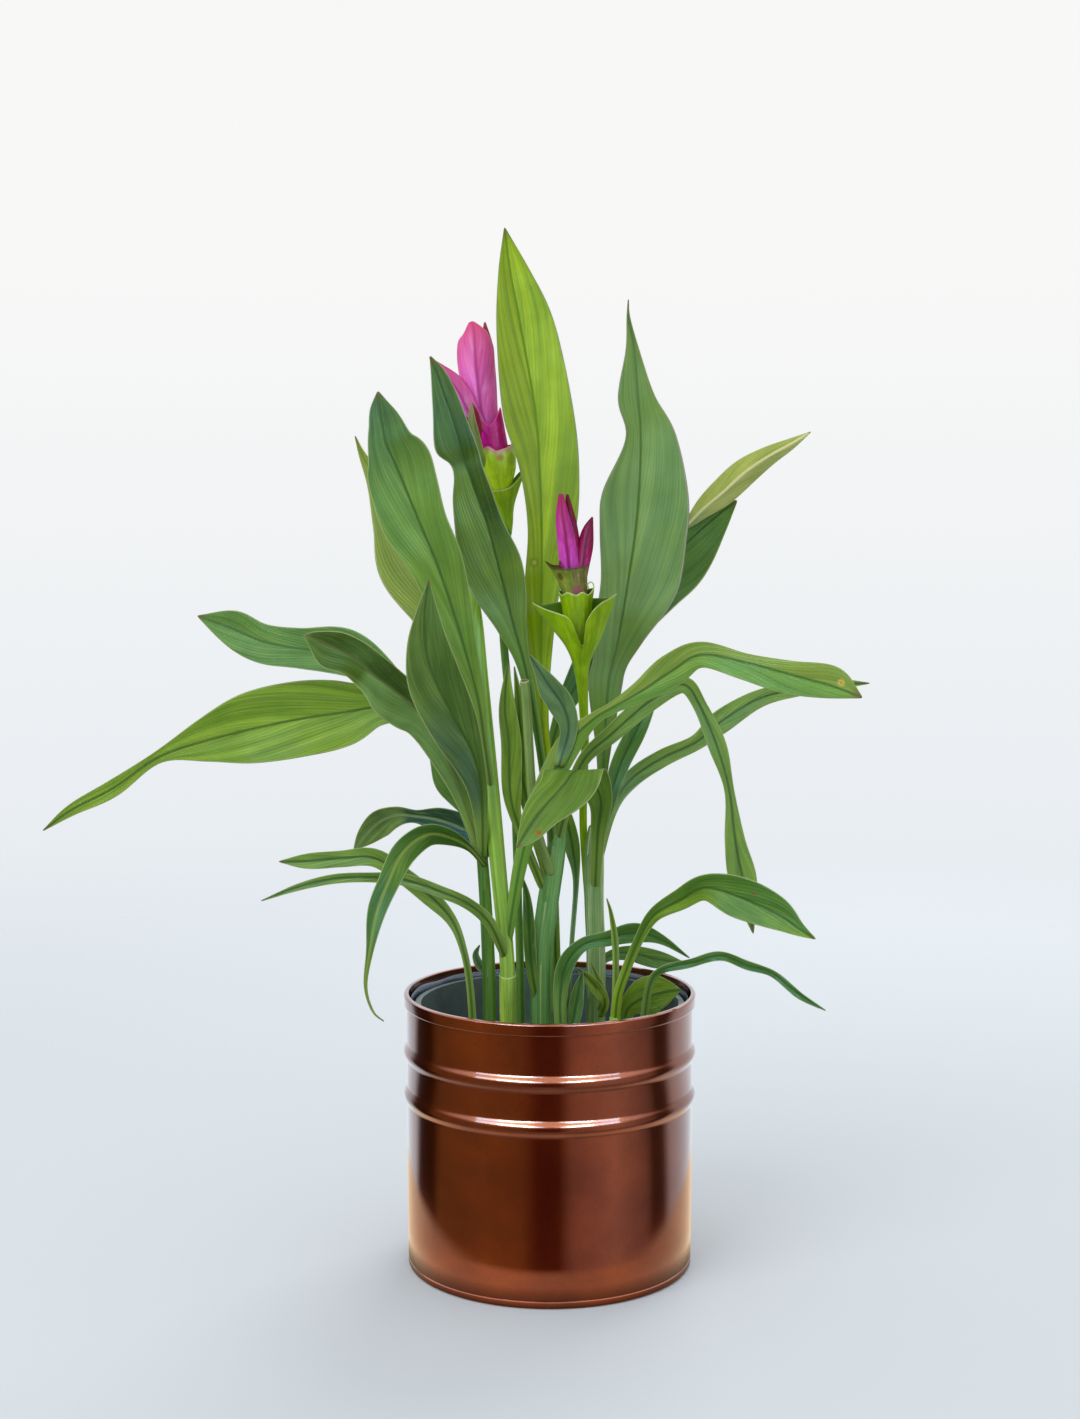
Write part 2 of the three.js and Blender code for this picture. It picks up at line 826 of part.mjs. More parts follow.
function bloomLeftPink() {
  const heart = stem(
    [
      [-26.5, 22, 398.1, 6.5],
      [-26.5, 22, 401, 6.5],
      [-28, 21, 406, 5.5],
      [-30, 20, 412, 3],
    ],
    { sides: 8 },
  );
  const hood = leaf(
    [
      [-28, 20, 400, 4.4, 4.4],
      [-32, 17, 412, 6.8, 6.8],
      [-34, 16, 424, 8.7, 8.2],
      [-37, 15, 441, 8.7, 9.2],
      [-38, 16, 451, 6.3, 6.8],
      [-38, 17, 459, 0.6, 0.6],
    ],
    { stalk: 0, fold: -14, steps: 7 },
  );
  const inner = leaf(
    [
      [-28, 23, 400, 3.4, 3.4],
      [-29, 24, 422, 4.4, 3.9],
      [-30, 25, 446, 3.4, 3.4],
      [-32, 25, 461, 0.6, 0.6],
    ],
    { stalk: 0, fold: -12, steps: 5 },
  );
  const sideTip = leaf(
    [
      [-29, 20, 400, 3.4, 3.4],
      [-40, 14, 419, 4.3, 4.3],
      [-48, 9, 433, 3.4, 3.4],
      [-57, 5, 441, 0.6, 0.6],
    ],
    { stalk: 0, fold: -10, steps: 5 },
  );
  const cup = leaf(
    [
      [-28, 17, 399, 5.8, 5.8],
      [-29, 13, 405, 7.3, 7.7],
      [-31, 13, 414, 6.3, 6.8],
      [-32, 14, 421, 1.5, 1.5],
    ],
    { stalk: 0, fold: -14, steps: 4 },
  );
  const rightLobe = leaf(
    [
      [-25.5, 22, 400.5, 3.4, 3.4],
      [-22, 22, 407, 2.9, 2.9],
      [-24, 23, 415, 1.5, 1.5],
      [-25, 23, 419, 0.6, 0.6],
    ],
    { stalk: 0, steps: 3 },
  );
  return fuse([heart, hood, inner, sideTip, cup, rightLobe]);
}

function bloomRightGreen() {
  const [x, y, r] = HOLES.bloomRight;
  const body = stem(
    [
      [x, y, STEM_FOOT, r],
      [x, y, 122, 2.1],
      [21, 13, 152, 2],
      [18, 12, 192, 2],
      [16.5, 8, 214, 1.9],
      [16.5, 4, 232, 1.9],
      [17, -2, 255, 1.9],
      [16, -8, 277, 2.4],
      [16, -12, 292, 4.6],
      [14.5, -14, 304, 8.4],
      [13.5, -14, 314, 11],
      [12.5, -14, 321, 10],
      [11.5, -14, 325, 7.6],
      [11.5, -14, 329, 7.4],
    ],
    { sides: 10 },
  );
  const leftLobe = leaf(
    [
      [8, -16, 305, 5.7, 5.7],
      [1, -16, 317, 4.7, 4.7],
      [-6.5, -16, 326, 0.6, 0.6],
    ],
    { stalk: 0, steps: 4 },
  );
  const rightLobe = leaf(
    [
      [18, -16, 305, 4.7, 4.7],
      [25, -16, 316, 4.2, 4.2],
      [32, -16, 324, 0.6, 0.6],
    ],
    { stalk: 0, steps: 4 },
  );
  return fuse([body, leftLobe, rightLobe]);
}

function bloomRightPink() {
  const heart = stem(
    [
      [11.5, -14, 329.4, 6.5],
      [11.5, -14, 332, 6.6],
      [10.5, -15, 337, 6.8],
      [9.5, -16, 346, 5.5],
      [9, -16, 352, 3],
    ],
    { sides: 8 },
  );
  const tallBract = leaf(
    [
      [10, -15, 332, 5.2, 5.2],
      [9, -17, 344, 4.4, 4.8],
      [7, -18, 359, 4, 4.4],
      [6, -18, 375, 0.9, 0.9],
    ],
    { stalk: 0, fold: -18, steps: 5 },
  );
  const sideBract = leaf(
    [
      [13, -13, 332, 4.3, 4.3],
      [16, -13, 344, 3.8, 3.3],
      [19, -12, 355, 2.4, 1.9],
      [20, -12, 365, 0.6, 0.6],
    ],
    { stalk: 0, fold: -14, steps: 5 },
  );
  const lowerLip = leaf(
    [
      [11, -18, 333, 5.4, 5.4],
      [9.5, -20, 338, 7.4, 7],
      [8.5, -21, 343, 8.2, 8.2],
    ],
    { stalk: 0, fold: 10, steps: 3 },
  );
  return fuse([heart, tallBract, sideBract, lowerLip]);
}

// The tin: a spun cup with two ribs pressed out of its wall and a rolled hem
function tinWall(z) {
  const share = z / TIN_HEIGHT;
  const radius = THREE.MathUtils.lerp(TIN_BASE_RADIUS, TIN_TOP_RADIUS, share);
  const rib = RIB_MIDDLES.map((middle) => Math.abs(z - middle) / RIB_HALF_HEIGHT)
    .filter((d) => d < 1)
    .reduce((sum, d) => sum + RIB_PROUD * Math.cos((Math.PI * d) / 2), 0);
  return radius + rib;
}

function tin() {
  const outside = [[0, 0], [TIN_BASE_RADIUS - BASE_ROUNDING, 0], [TIN_BASE_RADIUS, BASE_ROUNDING]];
  for (const middle of RIB_MIDDLES) {
    for (let i = -RIB_STEPS; i <= RIB_STEPS; i++) {
      const z = middle + (i * RIB_HALF_HEIGHT) / RIB_STEPS;
      outside.push([tinWall(z), z]);
    }
  }
  const hemFoot = TIN_HEIGHT - HEM_HEIGHT;
  outside.push([TIN_TOP_RADIUS, hemFoot]);
  outside.push([HEM_RADIUS, hemFoot + HEM_EDGE]);
  outside.push([HEM_RADIUS, TIN_HEIGHT - HEM_EDGE]);
  outside.push([HEM_RADIUS - HEM_EDGE, TIN_HEIGHT]);
  const inside = [
    [TIN_TOP_RADIUS - TIN_WALL, TIN_HEIGHT],
    [TIN_BASE_RADIUS - TIN_WALL, TIN_WALL],
    [0, TIN_WALL],
  ];
  const profile = [...outside, ...inside].map(([r, z]) => new THREE.Vector2(r, z));
  const turned = new THREE.LatheGeometry(profile, TIN_SIDES);
  turned.rotateX(Math.PI / 2);
  return solidOf(turned);
}

// The nursery pot: a tapered plastic cup with an outward lip, standing on the tin's floor
function nurseryInside(z) {
  const share = (z - TIN_WALL - CLEARANCE) / (NURSERY_TOP - TIN_WALL - CLEARANCE);
  return THREE.MathUtils.lerp(NURSERY_BASE_RADIUS, NURSERY_TOP_RADIUS, share) - NURSERY_WALL;
}

function nurseryPot() {
  const foot = TIN_WALL + CLEARANCE;
  const lipFoot = NURSERY_TOP - NURSERY_LIP;
  const profile = [
    [0, foot],
    [NURSERY_BASE_RADIUS, foot],
    [nurseryInside(lipFoot) + NURSERY_WALL, lipFoot],
    [NURSERY_RIM_RADIUS, lipFoot],
    [NURSERY_RIM_RADIUS, NURSERY_TOP],
    [nurseryInside(NURSERY_TOP), NURSERY_TOP],
    [nurseryInside(foot + NURSERY_WALL), foot + NURSERY_WALL],
    [0, foot + NURSERY_WALL],
  ].map(([r, z]) => new THREE.Vector2(r, z));
  const turned = new THREE.LatheGeometry(profile, POT_SIDES);
  turned.rotateX(Math.PI / 2);
  return solidOf(turned);
}

// The soil fills the nursery pot. Its top is uneven, and each stem stands in a plain hole in it.
function soil() {
  const foot = TIN_WALL + 2 * CLEARANCE + NURSERY_WALL;
  const footRadius = nurseryInside(foot) - CLEARANCE;
  const topRadius = nurseryInside(SOIL_TOP - SOIL_EDGE_DROP) - CLEARANCE;
  const sides = POT_SIDES;
  const ring = (radius, height) =>
    Array.from({ length: sides }, (_, j) => {
      const angle = (2 * Math.PI * j) / sides;
      return new THREE.Vector3(radius * Math.cos(angle), radius * Math.sin(angle), height(j));
    });
  const uneven = (j, size) => SOIL_TOP + size * Math.sin(1.7 * j) * Math.cos(2.3 * j + 1);
  const rings = [
    ring(footRadius, () => foot),
    ring(topRadius, () => SOIL_TOP - SOIL_EDGE_DROP),
    ring(0.78 * topRadius, (j) => uneven(j, 1.6)),
    ring(0.45 * topRadius, (j) => uneven(j + 5, 1.2)),
    ring(0.12 * topRadius, () => SOIL_TOP + 0.6),
  ];
  const holes = Object.values(HOLES).map(([x, y, r]) => {
    const radius = (r + CLEARANCE) / Math.cos(Math.PI / HOLE_SIDES);
    const hole = new THREE.CylinderGeometry(radius, radius, HOLE_DEPTH, HOLE_SIDES);
    hole.rotateX(Math.PI / 2);
    hole.translate(x, y, STEM_FOOT - CLEARANCE + HOLE_DEPTH / 2);
    return solidOf(hole);
  });
  return solidOf(loft(rings, false)).subtract(fuse(holes));
}

const turmeric = new THREE.Group();

function add(name, solid, colour, roughness = 0.55, metalness = 0) {
  const material = new THREE.MeshStandardMaterial({ color: colour, roughness, metalness });
  const mesh = new THREE.Mesh(geometryOf(solid), material);
  mesh.name = name;
  turmeric.add(mesh);
}

add("tin_pot", tin(), COLOURS.tin, 0.25, 0.9);
add("nursery_pot", nurseryPot(), COLOURS.nursery, 0.5);
add("soil", soil(), COLOURS.soil, 0.95);
add("leaf_low_left", leafLowLeft(), COLOURS.leafDark);
add("stem_left", stemLeft(), COLOURS.leafDark);
add("stem_bright", stemBright(), COLOURS.leafBright);
add("stem_centre", stemCentre(), COLOURS.leafBright);
add("leaf_far_right", leafFarRight(), COLOURS.leafDark);
add("stem_right", stemRight(), COLOURS.leafBlue);
add("leaf_front_right", leafFrontRight(), COLOURS.leafDark);
add("leaf_wavy", leafWavy(), COLOURS.leafDark);
add("leaf_short", leafShort(), COLOURS.leafDark);
add("leaf_back", leafBack(), COLOURS.leafDark);
add("leaf_inside", leafInside(), COLOURS.leafDark);
add("bloom_left_green", bloomLeftGreen(), COLOURS.stalkGreen);
add("bloom_left_pink", bloomLeftPink(), COLOURS.pink);
add("bloom_right_green", bloomRightGreen(), COLOURS.stalkGreen);
add("bloom_right_pink", bloomRightPink(), COLOURS.pink);

export default turmeric;
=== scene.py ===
import math
import random

import bpy
import numpy as np
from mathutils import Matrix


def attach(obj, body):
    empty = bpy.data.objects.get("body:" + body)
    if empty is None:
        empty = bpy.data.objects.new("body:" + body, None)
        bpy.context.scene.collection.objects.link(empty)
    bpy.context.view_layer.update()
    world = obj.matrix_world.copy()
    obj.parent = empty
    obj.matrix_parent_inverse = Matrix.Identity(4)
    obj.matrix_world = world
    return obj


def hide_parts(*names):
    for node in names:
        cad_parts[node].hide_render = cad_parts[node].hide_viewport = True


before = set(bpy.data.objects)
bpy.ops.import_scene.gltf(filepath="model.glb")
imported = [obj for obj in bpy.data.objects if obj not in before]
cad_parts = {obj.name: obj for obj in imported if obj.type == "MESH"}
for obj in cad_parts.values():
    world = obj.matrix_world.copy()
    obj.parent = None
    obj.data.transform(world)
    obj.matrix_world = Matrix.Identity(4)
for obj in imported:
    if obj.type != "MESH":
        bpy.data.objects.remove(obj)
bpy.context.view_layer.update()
MM = 0.001


# The studio: a pale floor that fades into the backdrop, under a pale sky. The tin mirrors the studio, so
# it has a bright back, two dark flats at the sides, a warm front with a dark strip in its middle, and
# light panels overhead.
CAMERA_PLACE = (0, -1.0025, 0.3598)
CAMERA_PITCH_DOWN = 0.0871
CAMERA_TURN = 0.0047
CAMERA_LENS = 52.795
FLOOR_RADIUS = 2.6
FLOOR_FADE = (0.25, 1.5)
FLOOR_SEEN_IN_GLOSS = (0.15, 0.17)
FLOOR_GLOSS_MIDDLE = (0, 0.055, 0)


def linear(code):
    """An sRGB hex colour as the linear values that Blender reckons in"""
    parts = [int(code[i:i + 2], 16) / 255 for i in (1, 3, 5)]
    return tuple(c / 12.92 if c <= 0.04045 else ((c + 0.055) / 1.055) ** 2.4 for c in parts) + (1,)


def node(tree, kind, inputs=None, **settings):
    """Adds a node with its settings. Each input is a value or another node's output."""
    made = tree.nodes.new(kind)
    for name, value in settings.items():
        setattr(made, name, value)
    for socket, value in (inputs or {}).items():
        if isinstance(value, bpy.types.NodeSocket):
            tree.links.new(value, made.inputs[socket])
        else:
            made.inputs[socket].default_value = value
    return made


def blank_material(name):
    """A new material, and its node tree with nothing in it yet"""
    material = bpy.data.materials.new(name)
    material.use_nodes = True
    material.node_tree.nodes.clear()
    return material, material.node_tree


def stops(ramp, places):
    """Sets a colour ramp's stops, each a place and a hex colour"""
    elements = ramp.color_ramp.elements
    while len(elements) < len(places):
        elements.new(0.5)
    for element, (place, code) in zip(elements, places):
        element.position = place
        element.color = linear(code)


bpy.ops.object.camera_add(
    location=CAMERA_PLACE, rotation=(math.pi / 2 - CAMERA_PITCH_DOWN, 0, CAMERA_TURN)
)
camera = bpy.context.object
camera.data.lens = CAMERA_LENS
bpy.context.scene.camera = camera
bpy.context.scene.view_settings.view_transform = "Standard"

# Turns round the plant are shares of a full turn, 0.5 straight towards the camera
BELT = (
    (0.0, "#E6ECF4"), (0.118, "#DCE4EC"), (0.142, "#180C0A"), (0.2, "#140A08"), (0.226, "#8C6A3C"),
    (0.34, "#A88450"), (0.44, "#946E44"), (0.472, "#5C1C20"), (0.522, "#50181C"), (0.55, "#C0A090"),
    (0.65, "#DCC8BC"), (0.735, "#A08C84"), (0.756, "#302C30"), (0.79, "#3A3434"), (0.818, "#D8DCE0"),
    (1.0, "#E6ECF4"),
)
BELT_LIGHT = 1.12
PANEL_LIGHT = 2.2
GROUND_LIGHT = 0.5
# Heights on the unit sphere of directions: where the panels begin overhead, where the floor takes over,
# and where the backdrop goes from blue-grey to white
PANELS_FROM = (0.3, 0.5)
GROUND_FROM = (-0.45, -0.8)
BACKDROP_RISE = (-0.34, 0.12)
world = bpy.data.worlds.new("studio")
bpy.context.scene.world = world
world.use_nodes = True
tree = world.node_tree
tree.nodes.clear()
direction = node(tree, "ShaderNodeTexCoord").outputs["Generated"]
axes = node(tree, "ShaderNodeSeparateXYZ", {0: direction}).outputs
forward = node(tree, "ShaderNodeMath", {0: axes["Y"], 1: -1}, operation="MULTIPLY").outputs[0]
angle = node(tree, "ShaderNodeMath", {0: axes["X"], 1: forward}, operation="ARCTAN2").outputs[0]
turn = node(tree, "ShaderNodeMath", {0: angle, 1: 0.5 / math.pi, 2: 0.5},
            operation="MULTIPLY_ADD").outputs[0]
belt = node(tree, "ShaderNodeValToRGB", {0: turn})
stops(belt, BELT)
high = node(
    tree, "ShaderNodeMapRange", {0: axes["Z"], 1: PANELS_FROM[0], 2: PANELS_FROM[1]},
    interpolation_type="SMOOTHSTEP"
).outputs[0]
low = node(
    tree, "ShaderNodeMapRange", {0: axes["Z"], 1: GROUND_FROM[0], 2: GROUND_FROM[1]},
    interpolation_type="SMOOTHSTEP"
).outputs[0]
belt_light = node(tree, "ShaderNodeBackground", {0: belt.outputs[0], 1: BELT_LIGHT}).outputs[0]
panel_light = node(tree, "ShaderNodeBackground", {0: linear("#F4F6FA"), 1: PANEL_LIGHT}).outputs[0]
floor_light = node(tree, "ShaderNodeBackground", {0: linear("#D8D4CE"), 1: GROUND_LIGHT}).outputs[0]
upper = node(tree, "ShaderNodeMixShader", {0: high, 1: belt_light, 2: panel_light}).outputs[0]
mirrored = node(tree, "ShaderNodeMixShader", {0: low, 1: upper, 2: floor_light}).outputs[0]
rise = node(tree, "ShaderNodeMapRange", {0: axes["Z"], 1: BACKDROP_RISE[0], 2: BACKDROP_RISE[1]}).outputs[0]
backdrop = node(
    tree, "ShaderNodeMix", {0: rise, 6: linear("#DDE5EE"), 7: linear("#F8F8F7")}, data_type="RGBA"
).outputs[2]
seen = node(tree, "ShaderNodeBackground", {0: backdrop, 1: 1}).outputs[0]
even = node(tree, "ShaderNodeMapRange", {0: axes["Z"], 1: -0.6, 2: 0.7, 3: 0.6, 4: 1.1}).outputs[0]
sky = node(tree, "ShaderNodeBackground", {0: linear("#FBFBFA"), 1: even}).outputs[0]
ray = node(tree, "ShaderNodeLightPath").outputs
lit = node(tree, "ShaderNodeMixShader", {0: ray["Is Glossy Ray"], 1: sky, 2: mirrored}).outputs[0]
shown = node(tree, "ShaderNodeMixShader", {0: ray["Is Camera Ray"], 1: lit, 2: seen}).outputs[0]
node(tree, "ShaderNodeOutputWorld", {0: shown})

bpy.ops.object.select_all(action="DESELECT")
bpy.ops.mesh.primitive_circle_add(vertices=128, radius=FLOOR_RADIUS, fill_type="NGON")
floor = bpy.context.object
floor.name = "floor"
material, tree = blank_material("pale matt floor")
place = node(tree, "ShaderNodeTexCoord").outputs["Object"]
distance = node(tree, "ShaderNodeVectorMath", {0: place}, operation="LENGTH").outputs["Value"]
fade = node(
    tree, "ShaderNodeMapRange", {0: distance, 1: FLOOR_FADE[0], 2: FLOOR_FADE[1]},
    interpolation_type="SMOOTHSTEP",
).outputs[0]
gloss_distance = node(
    tree, "ShaderNodeVectorMath", {0: place, 1: FLOOR_GLOSS_MIDDLE}, operation="DISTANCE"
).outputs["Value"]
gloss_fade = node(
    tree, "ShaderNodeMapRange",
    {0: gloss_distance, 1: FLOOR_SEEN_IN_GLOSS[0], 2: FLOOR_SEEN_IN_GLOSS[1]},
).outputs[0]
ray = node(tree, "ShaderNodeLightPath").outputs
gone = node(tree, "ShaderNodeMix", {0: ray["Is Glossy Ray"], 2: fade, 3: gloss_fade}).outputs[0]
# The tin mirrors the floor near it as a painted reflection: to glossy rays the floor glows a warm pale tone,
# with painted shade darker close to the tin's foot
matt = node(tree, "ShaderNodeBsdfDiffuse", {0: linear("#BAC1C7")}).outputs[0]
foot_shade = node(tree, "ShaderNodeMapRange", {0: distance, 1: 0.07, 2: 0.08, 3: 0.2, 4: 1.0}).outputs[0]
warm = node(tree, "ShaderNodeEmission", {0: linear("#FFDEB8"), 1: foot_shade}).outputs[0]
near = node(tree, "ShaderNodeMixShader", {0: ray["Is Glossy Ray"], 1: matt, 2: warm}).outputs[0]
clear = node(tree, "ShaderNodeBsdfTransparent").outputs[0]
mixed = node(tree, "ShaderNodeMixShader", {0: gone, 1: near, 2: clear}).outputs[0]
node(tree, "ShaderNodeOutputMaterial", {0: mixed})
floor.data.materials.append(material)


def lamp(place, aim, size, watts, mirrored=False):
    """A soft square lamp: it lights the plant, or it is only seen mirrored in what is glossy"""
    way = np.array(aim) - np.array(place)
    turn = (math.atan2(math.hypot(way[0], way[1]), -way[2]), 0, math.atan2(-way[0], way[1]))
    bpy.ops.object.light_add(type="AREA", location=place, rotation=turn)
    made = bpy.context.object
    made.data.shape = "RECTANGLE"
    made.data.size, made.data.size_y = size
    made.data.energy = watts
    made.data.color = (0.24, 0.6, 1) if mirrored else (1, 1, 1)
    made.visible_glossy = mirrored
    made.visible_diffuse = not mirrored
    made.visible_transmission = not mirrored


lamp(place=(-0.9, -1.1, 1.2), aim=(0, 0, 0.3), size=(1.1, 1.1), watts=13)
lamp(place=(0.5, 1.2, 1.1), aim=(0, 0, 0.35), size=(1.0, 1.0), watts=12)
# The mirrored lamps are pairs, a broad dim one and a small bright one, so that their ends fade. They are
# bluish, because copper-brown metal takes most of the blue out of what it mirrors.
for across, front, size, watts in (
    (-0.6, -0.93, (1.15, 0.2), 9), (-0.5, -0.98, (0.56, 0.16), 13),
    (0.6, -0.93, (1.0, 0.2), 8), (0.45, -1.0, (0.4, 0.16), 9),
):
    lamp(place=(across, front, 0.66), aim=(0, 0, 0.1), size=size, watts=watts, mirrored=True)


# The tin is drawn steel with two ribs pressed out of its wall and a rolled hem, finished in a clear
# copper-brown lacquer. The metal mirrors its surroundings softly and the lacquer adds a sharp shine.
TIN_HEIGHT = 0.1344
TIN_TOP_RADIUS = 0.070
TIN_BASE_RADIUS = 0.0695
TIN_WALL = 0.0012
HEM_RADIUS = 0.0713
HEM_HEIGHT = 0.006
RIB_MIDDLES = (0.085, 0.106)
RIB_HALF_HEIGHT = 0.0046
RIB_PROUD = 0.0016
ROUND_SIDES = 160


def ring_by_ring(name, profile, sides=ROUND_SIDES):
    """A turned shape: a circle at the first point of the profile, drawn out ring by ring, then closed"""
    bpy.ops.object.select_all(action="DESELECT")
    radius, height = profile[0]
    bpy.ops.mesh.primitive_circle_add(
        vertices=sides, radius=radius, location=(0, 0, height), fill_type="NGON"
    )
    made = bpy.context.object
    made.name = name
    bpy.ops.object.transform_apply()
    bpy.ops.object.mode_set(mode="EDIT")
    bpy.ops.mesh.select_all(action="SELECT")
    for next_radius, next_height in profile[1:]:
        bpy.ops.mesh.extrude_region_move(TRANSFORM_OT_translate={"value": (0, 0, next_height - height)})
        scale = next_radius / radius
        bpy.ops.transform.resize(value=(scale, scale, 1))
        radius, height = next_radius, next_height
    bpy.ops.mesh.select_all(action="SELECT")
    bpy.ops.mesh.normals_make_consistent(inside=False)
    bpy.ops.object.mode_set(mode="OBJECT")
    bpy.ops.object.shade_smooth_by_angle(angle=math.radians(40))
    return made


def tin_radius(height):
    """The wall's radius at a height, ribs included"""
    radius = TIN_BASE_RADIUS + (TIN_TOP_RADIUS - TIN_BASE_RADIUS) * height / TIN_HEIGHT
    for middle in RIB_MIDDLES:
        away = abs(height - middle) / RIB_HALF_HEIGHT
        if away < 1:
            radius += RIB_PROUD * (0.5 + 0.5 * math.cos(math.pi * away)) ** 0.8
    return radius


def arc(middle, radius, start, end, count):
    """Points on an arc of a profile, from one angle to another in degrees"""
    angles = [math.radians(start + (end - start) * i / count) for i in range(count + 1)]
    return [(middle[0] + radius * math.cos(a), middle[1] + radius * math.sin(a)) for a in angles]


BASE_ROUNDING = 0.0015
SEAM_HEIGHTS = (0.0032, 0.0036, 0.0041)
SEAM_DEPTH = 0.0004
RIB_STEPS = 12
profile = [(TIN_BASE_RADIUS - 0.004, 0), (TIN_BASE_RADIUS - BASE_ROUNDING, 0)]
profile += arc((TIN_BASE_RADIUS - BASE_ROUNDING, BASE_ROUNDING), BASE_ROUNDING, -70, 0, 4)
for height, depth in zip(SEAM_HEIGHTS, (0, SEAM_DEPTH, 0)):
    profile.append((TIN_BASE_RADIUS - depth, height))
profile += [(tin_radius(0.02), 0.02), (tin_radius(0.05), 0.05)]
for middle in RIB_MIDDLES:
    for i in range(-RIB_STEPS, RIB_STEPS + 1):
        height = middle + RIB_HALF_HEIGHT * i / RIB_STEPS
        profile.append((tin_radius(height), height))
hem_foot = TIN_HEIGHT - HEM_HEIGHT
HEM_ROUNDING = 0.0011
HEM_INSIDE_ROUNDING = 0.0005
profile += [(TIN_TOP_RADIUS, hem_foot - 0.0002)]
profile += arc((HEM_RADIUS - HEM_ROUNDING, hem_foot + HEM_ROUNDING), HEM_ROUNDING, -80, 0, 5)
profile += arc((HEM_RADIUS - HEM_ROUNDING, TIN_HEIGHT - HEM_ROUNDING), HEM_ROUNDING, 0, 90, 6)
inner = TIN_TOP_RADIUS - TIN_WALL
profile += arc(
    (inner + HEM_INSIDE_ROUNDING, TIN_HEIGHT - HEM_INSIDE_ROUNDING), HEM_INSIDE_ROUNDING, 90, 180, 4
)
profile += [(inner, hem_foot), (TIN_BASE_RADIUS - TIN_WALL, TIN_WALL * 2),
            (TIN_BASE_RADIUS - TIN_WALL * 2, TIN_WALL)]
tin = ring_by_ring("copper_tin", profile)

material, tree = blank_material("copper-brown lacquer on drawn steel")
place = node(tree, "ShaderNodeTexCoord").outputs["Object"]
# Flake in the lacquer, drawn about 0.8 mm coarse so that it shows
flake = node(tree, "ShaderNodeTexNoise", {0: place, 2: 1300, 3: 2, 4: 0.7}).outputs[0]
cloud = node(tree, "ShaderNodeTexNoise", {0: place, 2: 26, 3: 4, 4: 0.6}).outputs[0]
clouds = node(tree, "ShaderNodeMapRange", {0: cloud, 1: 0.35, 2: 0.65}).outputs[0]
tone = node(
    tree, "ShaderNodeMix", {0: clouds, 6: linear("#8C421C"), 7: linear("#702C0E")}, data_type="RGBA"
).outputs[2]
specks = node(tree, "ShaderNodeMapRange", {0: flake, 1: 0.56, 2: 0.7, 3: 0, 4: 0.6}).outputs[0]
colour = node(tree, "ShaderNodeMix", {0: specks, 6: tone, 7: linear("#4A1E10")},
              data_type="RGBA").outputs[2]
rough = node(tree, "ShaderNodeMapRange", {0: cloud, 1: 0.3, 2: 0.7, 3: 0.17, 4: 0.24}).outputs[0]
bump = node(tree, "ShaderNodeBump", {"Height": flake, "Strength": 0.2, "Distance": 0.00002}).outputs[0]
metal = node(
    tree, "ShaderNodeBsdfPrincipled",
    {"Base Color": colour, "Metallic": 0.92, "Roughness": rough, "Normal": bump,
     "Coat Weight": 1.0, "Coat Roughness": 0.06},
).outputs[0]
node(tree, "ShaderNodeOutputMaterial", {0: metal})
tin.data.materials.append(material)
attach(tin, "root")
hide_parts("tin_pot")


# The nursery pot is blow-moulded black polythene with an outward lip. A thin film liner stands between
# the lip and the tin, so the inside of the tin shows a wrinkled dark blue edge with a few sharp glints.
NURSERY_FOOT = 0.0015
NURSERY_TOP = 0.129
NURSERY_RIM_RADIUS = 0.066
NURSERY_TOP_RADIUS = 0.064
NURSERY_BASE_RADIUS = 0.050
NURSERY_WALL = 0.0011
NURSERY_LIP = 0.006


def nursery_inside(height):
    """The nursery pot's inner radius at a height"""
    share = (height - NURSERY_FOOT) / (NURSERY_TOP - NURSERY_FOOT)
    return NURSERY_BASE_RADIUS + (NURSERY_TOP_RADIUS - NURSERY_BASE_RADIUS) * share - NURSERY_WALL


lip_foot = NURSERY_TOP - NURSERY_LIP
LIP_ROUNDING = 0.0006
profile = [(NURSERY_BASE_RADIUS - 0.003, NURSERY_FOOT)]
profile += arc((NURSERY_BASE_RADIUS - 0.001, NURSERY_FOOT + 0.001), 0.001, -90, 0, 3)
profile += [(nursery_inside(lip_foot) + NURSERY_WALL, lip_foot)]
profile += arc((NURSERY_RIM_RADIUS - LIP_ROUNDING, lip_foot + LIP_ROUNDING), LIP_ROUNDING, -90, 0, 3)
profile += arc((NURSERY_RIM_RADIUS - LIP_ROUNDING, NURSERY_TOP - LIP_ROUNDING), LIP_ROUNDING, 0, 90, 3)
profile += [(nursery_inside(NURSERY_TOP), NURSERY_TOP), (nursery_inside(lip_foot), lip_foot)]
profile += [(nursery_inside(0.004), 0.004), (nursery_inside(0.003) - 0.002, NURSERY_FOOT + NURSERY_WALL)]
nursery = ring_by_ring("nursery_pot_black", profile, sides=96)


def plastic(name, colour, rough, crease):
    """Black polythene with a soft sheen and shallow dents, the crease depth given in metres"""
    material, tree = blank_material(name)
    place = node(tree, "ShaderNodeTexCoord").outputs["Object"]
    dents = node(tree, "ShaderNodeTexNoise", {0: place, 2: 90, 3: 4, 4: 0.55}).outputs[0]
    tint = node(tree, "ShaderNodeMix", {0: dents, 6: linear(colour), 7: linear("#303A3C")},
                data_type="RGBA")
    bump = node(tree, "ShaderNodeBump", {"Height": dents, "Strength": 0.8, "Distance": crease}).outputs[0]
    skin = node(
        tree, "ShaderNodeBsdfPrincipled",
        {"Base Color": tint.outputs[2], "Roughness": rough, "Normal": bump, "IOR": 1.5},
    ).outputs[0]
    node(tree, "ShaderNodeOutputMaterial", {0: skin})
    return material


nursery.data.materials.append(plastic("black polythene, blow-moulded", "#566664", 0.42, 0.0006))
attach(nursery, "root")
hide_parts("nursery_pot")

